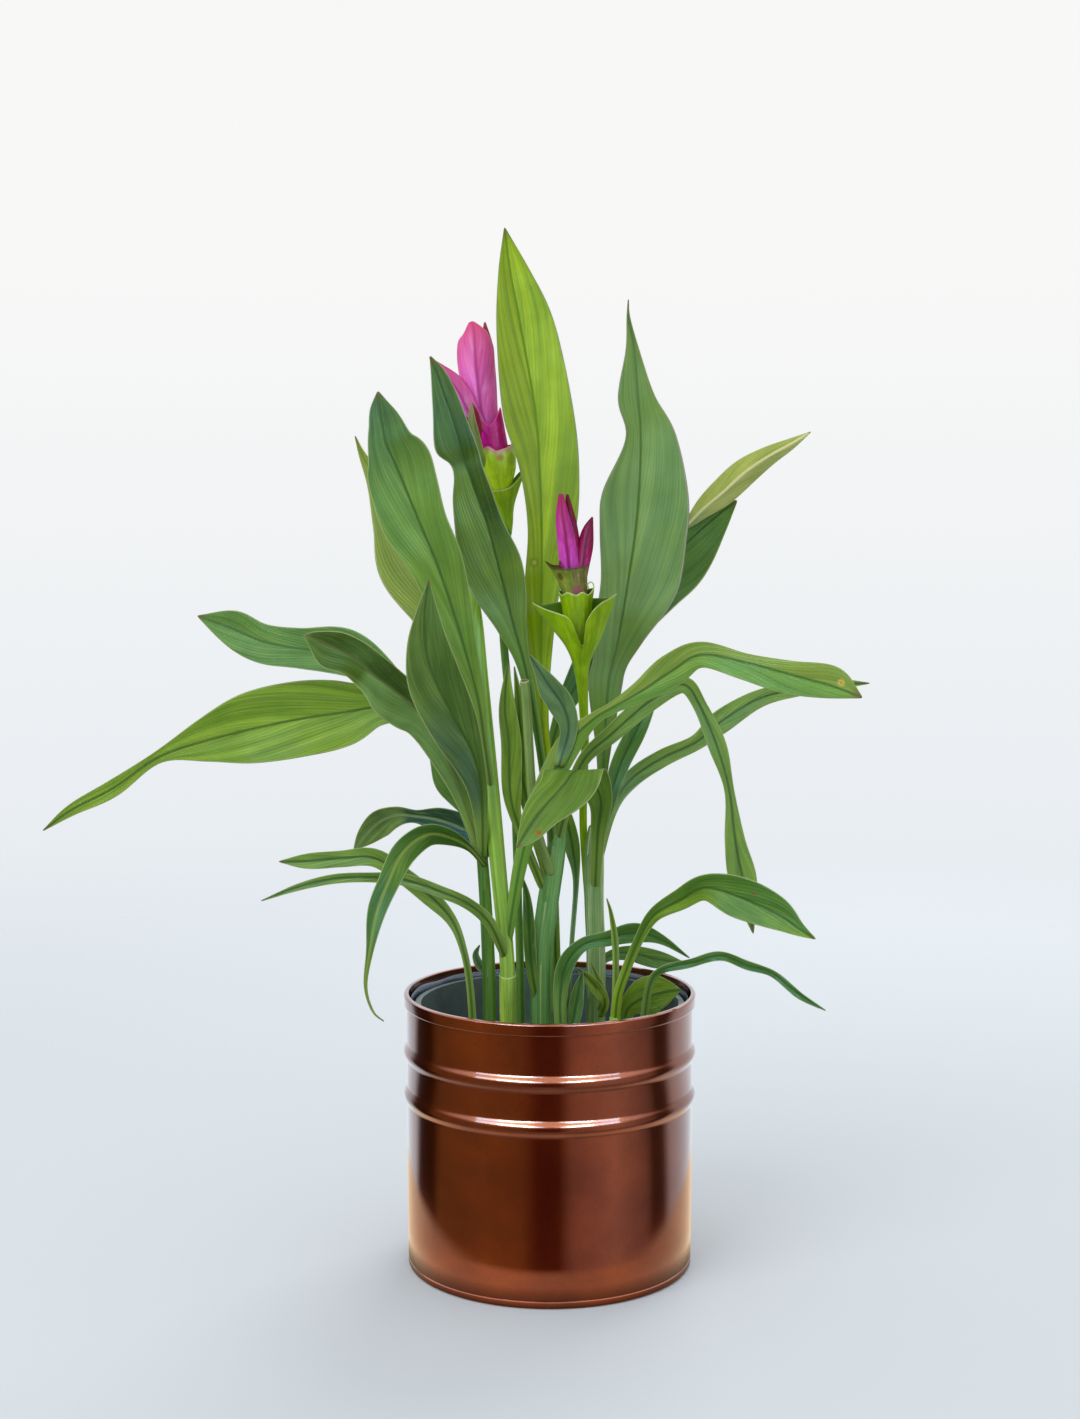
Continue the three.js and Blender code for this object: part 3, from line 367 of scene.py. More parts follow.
# The liner's edge: a band of film between the lip and the tin, pleated at random
LINER_RADIUS = 0.0674
LINER_LOW = 0.112
LINER_HIGH = 0.1316
LINER_PLEATS = 26
LINER_RIPPLE = 0.00009
FILM_THICKNESS = 0.00012
bpy.ops.object.select_all(action="DESELECT")
bpy.ops.mesh.primitive_cylinder_add(
    vertices=240, radius=LINER_RADIUS, depth=LINER_HIGH - LINER_LOW, end_fill_type="NOTHING",
    location=(0, 0, (LINER_LOW + LINER_HIGH) / 2),
)
liner = bpy.context.object
liner.name = "film_liner"
bpy.ops.object.transform_apply()
bpy.ops.object.mode_set(mode="EDIT")
bpy.ops.mesh.select_all(action="SELECT")
bpy.ops.mesh.subdivide(number_cuts=4)
bpy.ops.object.mode_set(mode="OBJECT")
draw = random.Random(4)
pleats = [(draw.uniform(2, 15), draw.uniform(0, 6.28), draw.uniform(0.3, 1)) for _ in range(LINER_PLEATS)]
for vertex in liner.data.vertices:
    around = math.atan2(vertex.co.y, vertex.co.x)
    up = (vertex.co.z - LINER_LOW) / (LINER_HIGH - LINER_LOW)
    ripple = sum(size * math.sin(round(count) * around + phase + 2 * up) for count, phase, size in pleats)
    radius = LINER_RADIUS + LINER_RIPPLE * ripple * up
    vertex.co.x = radius * math.cos(around)
    vertex.co.y = radius * math.sin(around)
    vertex.co.z += LINER_RIPPLE * ripple * up * up
modifier = liner.modifiers.new("film", "SOLIDIFY")
modifier.thickness = FILM_THICKNESS
bpy.ops.object.modifier_apply(modifier="film")
bpy.ops.object.shade_smooth()
liner.data.materials.append(plastic("polythene film, dark blue-black", "#2C4560", 0.24, 0.0004))
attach(liner, "root")


# Potting soil: peat and fine bark with a little perlite, loose and uneven, filling the nursery pot.
# The top is a grid of rings raised by noise, and the crumbs are small lumps scattered over it.
SOIL_TOP = 0.098
SOIL_DEPTH = 0.03
SOIL_RINGS = 26
LUMP_SIZE = 0.009
LUMP_HEIGHT = 0.005
soil_radius = nursery_inside(SOIL_TOP) - 0.0004
profile = [(soil_radius - 0.004, SOIL_TOP - SOIL_DEPTH), (soil_radius, SOIL_TOP - 0.002)]
profile += [(soil_radius * (1 - i / SOIL_RINGS), SOIL_TOP) for i in range(1, SOIL_RINGS)]
soil = ring_by_ring("potting_soil", profile, sides=96)
lumps = bpy.data.textures.new("lumps", "CLOUDS")
lumps.noise_scale = LUMP_SIZE
lumps.noise_depth = 4
modifier = soil.modifiers.new("lumps", "DISPLACE")
modifier.texture = lumps
modifier.texture_coords = "LOCAL"
modifier.direction = "Z"
modifier.strength = LUMP_HEIGHT
modifier.mid_level = 0.5
group = soil.vertex_groups.new(name="top")
group.add([v.index for v in soil.data.vertices if v.co.z > SOIL_TOP - 0.001], 1, "REPLACE")
modifier.vertex_group = "top"
bpy.ops.object.modifier_apply(modifier="lumps")


def scatter(count, smallest, largest, flatten, seed):
    """Small irregular crumbs on the soil, each a copy of one lump with its own size and turn"""
    bpy.ops.object.select_all(action="DESELECT")
    bpy.ops.mesh.primitive_ico_sphere_add(subdivisions=2, radius=1)
    first = bpy.context.object
    draw = random.Random(seed)
    for vertex in first.data.vertices:
        vertex.co *= draw.uniform(0.72, 1.12)
    crumbs = []
    for _ in range(count):
        far = soil_radius * 0.95 * math.sqrt(draw.random())
        around = draw.uniform(0, 2 * math.pi)
        size = draw.uniform(smallest, largest)
        crumb = first.copy()
        crumb.data = first.data.copy()
        crumb.location = (far * math.cos(around), far * math.sin(around),
                          SOIL_TOP + draw.uniform(-0.3, 1) * size)
        crumb.rotation_euler = [draw.uniform(0, 2 * math.pi) for _ in range(3)]
        crumb.scale = (size, size * draw.uniform(0.5, 1), size * flatten)
        bpy.context.collection.objects.link(crumb)
        crumbs.append(crumb)
    bpy.data.objects.remove(first)
    return crumbs


def granular(name, dark, pale, rough):
    """Crumbly matter in two tones, with grains about a millimetre across"""
    material, tree = blank_material(name)
    place = node(tree, "ShaderNodeTexCoord").outputs["Object"]
    grain = node(tree, "ShaderNodeTexNoise", {0: place, 2: 900, 3: 5, 4: 0.7}).outputs[0]
    tint = node(tree, "ShaderNodeMix", {0: grain, 6: linear(dark), 7: linear(pale)},
                data_type="RGBA").outputs[2]
    bump = node(tree, "ShaderNodeBump", {"Height": grain, "Strength": 0.9, "Distance": 0.0006}).outputs[0]
    body = node(
        tree, "ShaderNodeBsdfPrincipled", {"Base Color": tint, "Roughness": rough, "Normal": bump}
    ).outputs[0]
    node(tree, "ShaderNodeOutputMaterial", {0: body})
    return material


soil.data.materials.append(granular("peat and bark potting soil", "#1C120C", "#4A3423", 0.95))
bark = scatter(count=170, smallest=0.0008, largest=0.0026, flatten=0.5, seed=11)
perlite = scatter(count=34, smallest=0.0007, largest=0.0016, flatten=0.9, seed=23)
for crumb in bark:
    crumb.data.materials.append(soil.data.materials[0])
white = granular("expanded perlite", "#B8B4AA", "#E6E4DE", 0.8)
for crumb in perlite:
    crumb.data.materials.append(white)
bpy.ops.object.select_all(action="DESELECT")
for crumb in bark + perlite:
    crumb.select_set(True)
soil.select_set(True)
bpy.context.view_layer.objects.active = soil
bpy.ops.object.join()
bpy.ops.object.shade_smooth_by_angle(angle=math.radians(50))
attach(soil, "root")
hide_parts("soil")


# The left shoot: a slim bundle of leaf sheaths that carries eight leaves. A leaf grows from a round stalk
# that opens into a thin waxy blade, with a grooved midrib, fine veins that leave it at a low angle and a
# pale margin. Each blade is a grid laid along the leaf's own curve, closed, and then subdivided.
BLADE_SECTION = (-1, -0.82, -0.62, -0.42, -0.22, -0.08, 0, 0.08, 0.22, 0.42, 0.62, 0.82, 1)
BLADE_ROWS = 48
BLADE_EDGE = 0.28
BLADE_BODY = 0.5
VEIN_EVERY = 1.7
VEIN_RUN = 0.16
TIP_HALF_WIDTH = 0.14
# The midrib stands out under the blade and is grooved above it: how far, how wide, and at what half width
# of the blade in full, in millimetres
RIB_RIDGE = (0.35, 0.9, 6)
RIB_GROOVE = (0.4, 0.8, 8)
# The fold is rounded at the midrib
FOLD_SOFTNESS = (0.004, 0.063)
# The stalk opens from this share of it on. It is a little flatter than round.
OPENS_FROM, OPENS_OVER = 0.3, 0.7
STALK_FLATNESS = 0.85
# The wave of the right margin runs ahead of the left one's, and both fade towards the midrib and the tip
MARGIN_LEAD = 1.9
MARGIN_FADE = 1.7
WAVE_WIDTH = 1.6
# A buckle is so high in millimetres for its length, along each of the lengths, and in full from a half width
BUCKLE, BUCKLE_PER = 0.24, 50
BUCKLE_LENGTHS = (21, 33, 54, 88)
BUCKLE_WIDTH = 9
# Sheaths and cups have no midrib and no tip, so all of their skin counts as far from one and short of one
FAR_FROM_RIB = 3
SHORT_OF_TIP = 0.9
SHEATH_SHIFT = 7
SHOOT_SIDES = 40


def through(points, shares):
    """The smooth curve through points and its direction, at shares 0 to 1 of the way along"""
    given = np.array(points, float)
    knots = np.vstack([2 * given[0] - given[1], given, 2 * given[-1] - given[-2]])
    place = np.asarray(shares) * (len(given) - 1)
    first = np.minimum(place.astype(int), len(given) - 2)
    s = (place - first)[:, None]
    a, b, c, d = (knots[first + i] for i in range(4))
    bend, twist = 2 * a - 5 * b + 4 * c - d, 3 * b - a - 3 * c + d
    points_there = 0.5 * (2 * b + (c - a) * s + bend * s**2 + twist * s**3)
    return points_there, 0.5 * (c - a + 2 * bend * s + 3 * twist * s**2)


def unit(vectors):
    """The same directions, each one long"""
    return vectors / np.linalg.norm(vectors, axis=-1, keepdims=True)


def frames(along, side=None):
    """Side and face directions along a leaf. The face looks to the front, or as the given side leaves it."""
    along = unit(along)
    if side is None:
        across = unit(np.cross(along, (0, -1, 0)))
    else:
        across = unit(np.array(side) - along * (along @ np.array(side))[:, None])
    return across, np.cross(across, along)


def laid_grid(points, blade, veins, finish):
    """Lays a grid over rows of points whose last column meets the first, closes it and smooths it"""
    rows, columns = points.shape[0] - 1, points.shape[1] - 1
    bpy.ops.object.select_all(action="DESELECT")
    bpy.ops.mesh.primitive_grid_add(x_subdivisions=columns, y_subdivisions=rows, size=1)
    made = bpy.context.object
    mesh = made.data
    mesh.vertices.foreach_set("co", (points * MM).ravel())
    for name, values in (("blade", blade), ("veins", veins)):
        mesh.attributes.new(name, "FLOAT_VECTOR", "POINT").data.foreach_set("vector", values.ravel())
    mesh.materials.append(finish)
    bpy.ops.object.mode_set(mode="EDIT")
    bpy.ops.mesh.select_all(action="SELECT")
    bpy.ops.mesh.remove_doubles(threshold=1e-7)
    bpy.ops.mesh.fill_holes(sides=0)
    bpy.ops.mesh.select_all(action="SELECT")
    bpy.ops.mesh.normals_make_consistent(inside=False)
    bpy.ops.object.mode_set(mode="OBJECT")
    modifier = made.modifiers.new("smooth", "SUBSURF")
    modifier.levels = 1
    modifier.render_levels = 1
    bpy.ops.object.modifier_apply(modifier="smooth")
    bpy.ops.object.shade_smooth()
    return made


def leaf(stations, finish, fold=12, stalk=0.25, side=None, curl=0, wave=(0, 0, 0), rows=BLADE_ROWS):
    """A leaf through stations (x, y, z, left, right), the blade's half widths, or one for both halves.
    It is a round stalk for its first share, its halves rise by the fold, and curl rounds it across.
    Its face looks to the front, unless side gives another direction across it. A wave is the margin's
    height in millimetres, how many times it goes up and down, and where it starts."""
    stations = [s if len(s) == 5 else s + s[3:] for s in stations]
    shares = np.linspace(0, 1, rows + 1)
    path, along = through([s[:3] for s in stations], shares)
    widths, _ = through([s[3:] for s in stations], shares)
    across, face = frames(along, side)
    step = np.ones(rows + 1)
    if stalk:
        step = np.clip((shares - OPENS_FROM * stalk) / (OPENS_OVER * stalk), 0, 1)
    flat = (step * step * (3 - 2 * step))[:, None]
    u = np.array(BLADE_SECTION)[None, :]
    half = np.maximum(np.where(u < 0, widths[:, :1], widths[:, 1:2]), TIP_HALF_WIDTH)
    length = np.concatenate([[0], np.cumsum(np.linalg.norm(np.diff(path, axis=0), axis=1))])[:, None]
    bow = math.radians(curl)
    if abs(bow) > 0.01:
        spread = math.sin(min(abs(bow), math.pi / 2))
        reach = half * np.sin(abs(bow) * u) / spread
        lift = np.sign(bow) * half * (1 - np.cos(bow * u)) / spread
        lean = bow * u
    else:
        reach, lift, lean = half * u, np.zeros_like(half * u), np.zeros_like(half * u)
    rise = math.radians(fold)
    soft = np.sqrt(u * u + FOLD_SOFTNESS[0]) - FOLD_SOFTNESS[1]
    lift = lift + half * soft * math.sin(rise) * flat
    height, count, phase = wave
    most = widths.max()
    ripple = np.sin(2 * math.pi * count * shares[:, None] + phase + MARGIN_LEAD * (u > 0))
    fading = np.minimum(1, WAVE_WIDTH * half / most)
    lift = lift + height * ripple * np.abs(u) ** MARGIN_FADE * flat * fading
    # No real blade is even: it buckles a little over a few centimetres, each one in its own way
    draw = random.Random(repr(stations))
    for reach_along in BUCKLE_LENGTHS:
        phase, slant = draw.uniform(0, 6.3), draw.uniform(-2, 2)
        swell = np.sin(2 * math.pi * length / reach_along + phase + slant * u)
        swell = swell * np.minimum(1, 1.5 * np.abs(u)) * np.minimum(1, half / BUCKLE_WIDTH)
        lift = lift + BUCKLE * reach_along / BUCKLE_PER * swell * flat
    reach = reach * (1 - (1 - math.cos(rise)) * flat)
    from_rib = np.abs(half * u)
    thin = BLADE_EDGE / 2 + (BLADE_BODY - BLADE_EDGE) / 2 * (1 - u**4)
    high, wide, full = RIB_RIDGE
    thin = thin + high * np.exp(-(from_rib / wide) ** 2) * np.minimum(1, half / full)
    fleshy = STALK_FLATNESS * stations[0][3] * np.sqrt(1 - STALK_FLATNESS * u * u)
    thick = fleshy * (1 - flat) + np.minimum(thin, half) * flat
    deep, wide, full = RIB_GROOVE
    groove = deep * np.exp(-(from_rib / wide) ** 2) * flat * np.minimum(1, half / full)
    points = path[:, None, :] + across[:, None, :] * reach[..., None] + face[:, None, :] * lift[..., None]
    normal = face[:, None, :] * np.cos(lean)[..., None] - across[:, None, :] * np.sin(lean)[..., None]
    top = points + normal * (thick - groove)[..., None]
    bottom = points - normal * thick[..., None]
    rings = np.concatenate([top, bottom[:, ::-1], top[:, :1]], axis=1)
    share = length / length[-1] + 0 * half
    number = (np.abs(u) * most - VEIN_RUN * length) / VEIN_EVERY
    blade = np.stack([u + 0 * half, share, 1 - flat + 0 * half], axis=-1)
    veins = np.stack([number, from_rib, half * (1 - np.abs(u))], axis=-1)
    blade, veins = (np.concatenate([v, v[:, ::-1], v[:, :1]], axis=1) for v in (blade, veins))
    return laid_grid(rings, blade, veins, finish)


def shoot(stations, finish, sheaths=2, start=0.1, winding=0.2, seam=0.1, rows=28):
    """A round stem through stations (x, y, z, radius), of sheaths wrapped round each other. The edge of each
    stands proud of the next by a share of the radius, and winds up the stem from its start."""
    shares = np.linspace(0, 1, rows + 1)[:, None]
    path, along = through([s[:3] for s in stations], shares[:, 0])
    radii, _ = through([(s[3], 0, 0) for s in stations], shares[:, 0])
    across, face = frames(along)
    turns = np.linspace(0, 1, SHOOT_SIDES, endpoint=False)[None, :]
    lap = (turns - start - winding * shares) * sheaths
    sheath, place = np.floor(lap), lap % 1
    radius = radii[:, :1] * (1 + seam * (place - 0.5))
    points = path[:, None, :] + across[:, None, :] * (radius * np.sin(2 * math.pi * turns))[..., None]
    points = points + face[:, None, :] * (radius * np.cos(2 * math.pi * turns))[..., None]
    width = 2 * math.pi * radii[:, :1] / sheaths
    side = np.where(sheath % 2 == 0, -1.0, 1.0)
    number = place * width / VEIN_EVERY + SHEATH_SHIFT * sheath
    blade = np.stack([side, SHORT_OF_TIP * shares + 0 * place, 0 * place], axis=-1)
    veins = np.stack([number, FAR_FROM_RIB + 0 * place, (1 - place) * width], axis=-1)
    points, blade, veins = (np.concatenate([v, v[:, :1]], axis=1) for v in (points, blade, veins))
    return laid_grid(points, blade, veins, finish)


# Leaf skin is waxy and semi-matt, and the light comes through it. Between its veins the cells lie in
# streaks a few millimetres wide, so no leaf is one flat green.
SPOT_STRENGTH = 0.85
STALK_TONE = 0.85
SKIN_SHINE = 0.17
VEIN_RELIEF = 0.00013
# The right half has other streaks than the left one, so its veins are numbered from here
RIGHT_HALF_FROM = 31.7


def leaf_finish(
    name, body, deep, right=None, pale="#A6C070", rib="#3A5A2A", margin="#A8B878", foot="#86A84A",
    tip="#7A6A3A", glow="#A8C820", streak=0.6, gloss=0.42, through_light=0.3, tip_from=0.975, foot_to=0.1,
    margin_width=0.5, shade="#A4B892", zones=(), spots=(),
):
    """body and deep are the tones that the leaf mottles between, and right is the body's tone on the right
    half: partly a second tone of the blade's own, and on folded blades painted shading between the two
    halves. foot is the stalk's tone, glow the tone of the light through it, and shade darkens the streaks.
    A zone is the half that it covers, the shares of the length between which it comes in, and its tone;
    zones are partly tones of the blade's own, and partly painted shade and painted sheen where a blade
    turns. Spots are (x, y, z, radius, tone), in millimetres."""
    material, tree = blank_material(name)
    blade = node(tree, "ShaderNodeAttribute", attribute_name="blade").outputs["Vector"]
    across, along, round_part = node(tree, "ShaderNodeSeparateXYZ", {0: blade}).outputs
    pattern = node(tree, "ShaderNodeAttribute", attribute_name="veins").outputs["Vector"]
    number, from_rib, from_edge = node(tree, "ShaderNodeSeparateXYZ", {0: pattern}).outputs
    place = node(tree, "ShaderNodeTexCoord").outputs["Object"]
    half = node(tree, "ShaderNodeMapRange", {0: across, 1: -0.03, 2: 0.03}).outputs[0]
    number = node(tree, "ShaderNodeMath", {0: half, 1: RIGHT_HALF_FROM, 2: number},
                  operation="MULTIPLY_ADD").outputs[0]
    lane = node(tree, "ShaderNodeCombineXYZ", {0: number, 1: along}).outputs[0]
    broad_lane = node(tree, "ShaderNodeMapping", {0: lane, 3: (0.42, 2.5, 1)}).outputs[0]
    broad = node(tree, "ShaderNodeTexNoise", {0: broad_lane, 2: 1, 3: 3, 4: 0.6}).outputs[0]
    light_lane = node(tree, "ShaderNodeMapping", {0: lane, 1: (9, 4, 0), 3: (0.8, 3.5, 1)}).outputs[0]
    light = node(tree, "ShaderNodeTexNoise", {0: light_lane, 2: 1, 3: 2, 4: 0.6}).outputs[0]
    wave = node(tree, "ShaderNodeTexWave", {0: lane, 1: 0.314, 2: 0.6, 3: 1, 4: 0.6}).outputs[1]
    mottle = node(tree, "ShaderNodeTexNoise", {0: place, 2: 55, 3: 4, 4: 0.6}).outputs[0]
    # Each pattern as an amount: from where to where it changes, and how much it is at each
    amounts = {
        "mottled": (mottle, 0.35, 0.68, 0, 0.6),
        "streaks": (broad, 0.36, 0.64, 0, streak),
        "lights": (light, 0.52, 0.75, 0, 0.45 * streak),
        "lines": (wave, 0.6, 1, 0, 0.3 * streak),
        "foot": (along, 0, foot_to, 0.9, 0),
        "rib": (from_rib, 0.3, 0.9, 0.8, 0),
        "edge": (from_edge, 0.25 * margin_width, margin_width, 0.8, 0),
        "end": (along, tip_from, 1, 0, 0.9),
        "rough": (mottle, 0.3, 0.7, gloss - 0.05, gloss + 0.07),
    }
    for key, (source, start, full, least, most) in amounts.items():
        amounts[key] = node(
            tree, "ShaderNodeMapRange", {0: source, 1: start, 2: full, 3: least, 4: most}
        ).outputs[0]
    stalk = node(tree, "ShaderNodeMath", {0: round_part, 1: STALK_TONE}, operation="MULTIPLY").outputs[0]
    lower = node(tree, "ShaderNodeMath", {0: stalk, 1: amounts["foot"]}, operation="MAXIMUM").outputs[0]
    layers = []
    if right:
        zones = (("right", -0.1, 0, right),) + zones
    for side, start, full, code in zones:
        amount = node(tree, "ShaderNodeMapRange", {0: along, 1: start, 2: full}).outputs[0]
        if side != "both":
            covered = {"left": (1, 0), "right": (0, 1)}[side]
            there = node(tree, "ShaderNodeMapRange", {0: half, 3: covered[0], 4: covered[1]}).outputs[0]
            amount = node(tree, "ShaderNodeMath", {0: amount, 1: there}, operation="MULTIPLY").outputs[0]
        layers.append((amount, code, "MIX"))
    layers += [
        (amounts["mottled"], deep, "MIX"), (amounts["streaks"], shade, "MULTIPLY"),
        (amounts["lights"], pale, "MIX"), (amounts["lines"], shade, "MULTIPLY"),
        (lower, foot, "MIX"), (amounts["rib"], rib, "MIX"),
    ]
    for x, y, z, radius, code in spots:
        away = node(
            tree, "ShaderNodeVectorMath", {0: place, 1: (x * MM, y * MM, z * MM)}, operation="DISTANCE"
        ).outputs["Value"]
        ring = {0: away, 1: 0.5 * radius * MM, 2: radius * MM, 3: SPOT_STRENGTH, 4: 0}
        layers.append((node(tree, "ShaderNodeMapRange", ring).outputs[0], code, "MIX"))
    layers += [(amounts["edge"], margin, "MIX"), (amounts["end"], tip, "MIX")]
    tone = linear(body)
    for amount, code, blend in layers:
        tone = node(
            tree, "ShaderNodeMix", {0: amount, 6: tone, 7: linear(code)}, data_type="RGBA", blend_type=blend
        ).outputs[2]
    relief = node(tree, "ShaderNodeMath", {0: broad, 1: 5, 2: wave}, operation="MULTIPLY_ADD").outputs[0]
    bump = node(
        tree, "ShaderNodeBump", {"Height": relief, "Strength": 0.5, "Distance": VEIN_RELIEF}
    ).outputs[0]
    skin = node(
        tree, "ShaderNodeBsdfPrincipled",
        {"Base Color": tone, "Roughness": amounts["rough"], "Normal": bump,
         "Specular IOR Level": SKIN_SHINE},
    ).outputs[0]
    backlit = node(tree, "ShaderNodeMix", {0: 0.5, 6: tone, 7: linear(glow)}, data_type="RGBA").outputs[2]
    passed = node(tree, "ShaderNodeBsdfTranslucent", {"Color": backlit, "Normal": bump}).outputs[0]
    mixed = node(tree, "ShaderNodeMixShader", {0: through_light, 1: skin, 2: passed}).outputs[0]
    node(tree, "ShaderNodeOutputMaterial", {0: mixed})
    return material


def joined(name, parts, slot, *nodes):
    """Joins a shoot's parts in one piece that rides on the plant and stands for its solid"""
    bpy.ops.object.select_all(action="DESELECT")
    for part in parts:
        part.select_set(True)
    bpy.context.view_layer.objects.active = parts[0]
    if len(parts) > 1:
        bpy.ops.object.join()
    whole = bpy.context.object
    whole.name = name
    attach(whole, "root")
    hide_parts(*nodes)
    return whole


mid_green = leaf_finish("leaf, mid green", "#8EB154", "#6D9144")
deep_green = leaf_finish("leaf, deep green", "#5E8A30", "#477026", rib="#2E5611")
# The teal on the lower part of this leaf's left half is a painted sheen.
spear_green = leaf_finish(
    "leaf, deep green with a teal foot", "#739144", "#5D7D39", right="#5C7E38", rib="#406016",
    zones=(("left", 0.66, 0.5, "#5E8060"),),
)
teal_green = leaf_finish("leaf, blue-green shade side", "#739968", "#5C7F5A", rib="#3E5A45")
bright_green = leaf_finish("leaf, bright green", "#9CBC44", "#82A636", rib="#456222", streak=0.8)
blue_green = leaf_finish("leaf, pale blue-green", "#769F50", "#5F8849", margin="#9CB080", rib="#4B6C37")
# A folded leaf: its right half, and its left half from three quarters of its length on, are darker with
# painted shade.
folded_half_shaded = leaf_finish(
    "leaf, folded, painted shade on one half and near the end", "#8BB26A", "#6D954F", right="#466020", rib="#6C7A44",
    margin="#B8C484", tip="#8C9450", zones=(("left", 0.74, 0.77, "#5F7D23"),),
)
olive_tip = leaf_finish(
    "leaf, dark teal with an olive end", "#24493A", "#1E3E30", rib="#7C9060", foot="#24493A",
    zones=(("both", 0.55, 0.6, "#728F4C"),),
)
bent_green = leaf_finish(
    "leaf, bright over a shaded foot", "#578326", "#476D21", foot="#2B5325", foot_to=0.5, rib="#8CA245",
)
stalk_green = leaf_finish(
    "leaf sheath, green", "#86B456", "#6C9C48", right="#68984C", rib="#4A7030", foot="#86B456", streak=0.9,
    margin="#B8CC8C",
)

STEM_FOOT = 78
left_shoot = [
    shoot([(-29, -8, STEM_FOOT, 3.3), (-29, -8, 104, 3.3), (-29.5, -8, 145, 3.2), (-31, -9, 180, 3),
           (-33, -11, 208, 2.6), (-34, -13, 218, 1.6)], stalk_green, start=0.9),
    leaf([(-32, -14, 202, 2), (-32, -30, 234, 6, 3), (-35, -43, 254, 11.4, 4.7),
          (-43, -55, 272, 13.5, 10.3), (-52, -63, 291, 12.9), (-56, -68, 307, 8.7, 11.5),
          (-56, -71, 322, 4.1, 6.9), (-54, -73, 337, 0.3)], spear_green, stalk=0.15),
    leaf([(-33, -11, 205, 2), (-41, -17, 230, 4), (-49, -24, 252, 7.5, 6), (-57.5, -30, 270, 11, 8.4),
          (-66, -35, 279, 13.6, 9.2), (-75, -41, 287, 13.4, 9.6), (-81, -45, 292, 9.6, 10.2),
          (-90, -51, 300.5, 9, 9.6), (-100, -56, 306, 10.4, 8.6), (-107, -60, 309.6, 5, 4.4),
          (-111.5, -62, 311.4, 0.3)], folded_half_shaded, stalk=0.15, fold=16, rows=56),
    leaf([(-33, -9, 199, 1.6), (-46, -8, 234, 2), (-63, -6, 270, 3.9), (-82, -2, 290, 7.8, 8.8),
          (-99, 4, 299, 10.8, 12.8), (-122, 12, 301, 9.9, 10.4), (-141, 20, 304, 11, 9),
          (-157, 27, 310, 9, 9.5), (-176, 36, 316, 0.3)], blue_green, fold=10, wave=(0.8, 2, 1)),
    leaf([(-32, -8, 198, 1.6), (-45, 2, 240, 1.6), (-61, 10, 265, 2.5), (-81, 16, 272, 9),
          (-101, 22, 269, 17.2, 16.7), (-124, 30, 265, 19.4, 19.9), (-150, 38, 259, 17.5, 19),
          (-175, 46, 252, 10.9, 11.4), (-200, 54, 243, 3.2, 3.4), (-225, 62, 226, 4.7),
          (-248, 68, 214, 3.2), (-265, 74, 202, 0.3)], bright_green, stalk=0.22, wave=(0.9, 4, 0), rows=60),
    leaf([(-32, -9, 200, 2), (-34, -5, 210, 8), (-44, -1, 215, 9, 7.6), (-54, 3, 218, 7.6, 6.4),
          (-65, 8, 219, 3.4), (-75, 13, 219, 6, 4.6), (-84, 18, 215, 8, 6.2), (-92, 23, 207, 5.4, 4.2),
          (-98, 27, 199, 0.3)], olive_tip, stalk=0.1, rows=56),
    leaf([(-31, -12, 198, 1.6), (-38, -22, 208, 1.8), (-47, -34, 215, 4), (-57, -46, 218, 5.6, 5.2),
          (-67, -58, 212, 6.6, 5.6), (-73, -68, 200, 5.4, 5), (-78, -74, 187, 4.2, 4.6),
          (-81, -78, 170, 1.8), (-83, -79, 154, 0.9), (-80, -77, 142, 0.6), (-75, -76, 137, 0.3)],
          bent_green, stalk=0.15),
    leaf([(-33, -11, 208, 2), (-38, -12, 221, 2.4), (-44, -13, 232, 5.7, 5), (-49, -15, 240, 6.7, 5.7),
          (-53, -17, 249, 4.3, 3.3), (-58, -18, 259, 0.3)], blue_green, stalk=0.2, rows=32),
    leaf([(-29, -4, 135, 1), (-31, -3, 143, 1.6), (-34.5, -3, 148, 2.2), (-36, -3, 153, 1.6),
          (-34, -3, 157.5, 0.3)], teal_green, stalk=0.1, rows=20),
]
joined("left_shoot", left_shoot, "leaf_green", "stem_left")


# The low left leaf stands in front of the shoots and leans out to the left. Like a few others it has a
# thin stalk of its own, which comes straight up from the soil.


def lone_stalk(x, y, radius, middle=100, top=122, finish=stalk_green, start=0.1):
    """The straight foot of a leaf that stands in the soil by itself"""
    heights = (STEM_FOOT, middle, top)
    return shoot([(x, y, height, radius) for height in heights], finish, sheaths=1, start=start)


low_left = [
    lone_stalk(-36, -24, 2.1),
    leaf([(-36, -24, 112, 2.1), (-38, -25, 142, 1.8), (-41, -27, 160, 1.8), (-46, -28, 174, 2.9, 2.4),
          (-56, -30, 186, 4.8, 3.9), (-70, -31, 197, 4.3), (-83, -32, 205, 4.3, 4.8),
          (-98, -34, 205, 4.3, 3.8), (-114, -36, 204, 3.8), (-127, -38, 204, 0.3)], mid_green, stalk=0.4),
]
joined("low_left_leaf", low_left, "leaf_green", "leaf_low_left")


# The bright shoot, left of the middle, is the lightest green: a thick smooth bundle of sheaths with a
# large leaf that leans left, one behind it, one that arches over to the right, a short one and a low
# narrow one
CUP_SIDES = 48
CUP_VEINS = 20
# The rim's rise and flare begin at a share of the cup's height and go on over another, and so does its roll
RIM_FROM, RIM_OVER, RIM_BEND = 0.4, 0.6, 1.6
ROLL_FROM, ROLL_OVER = 0.8, 0.2


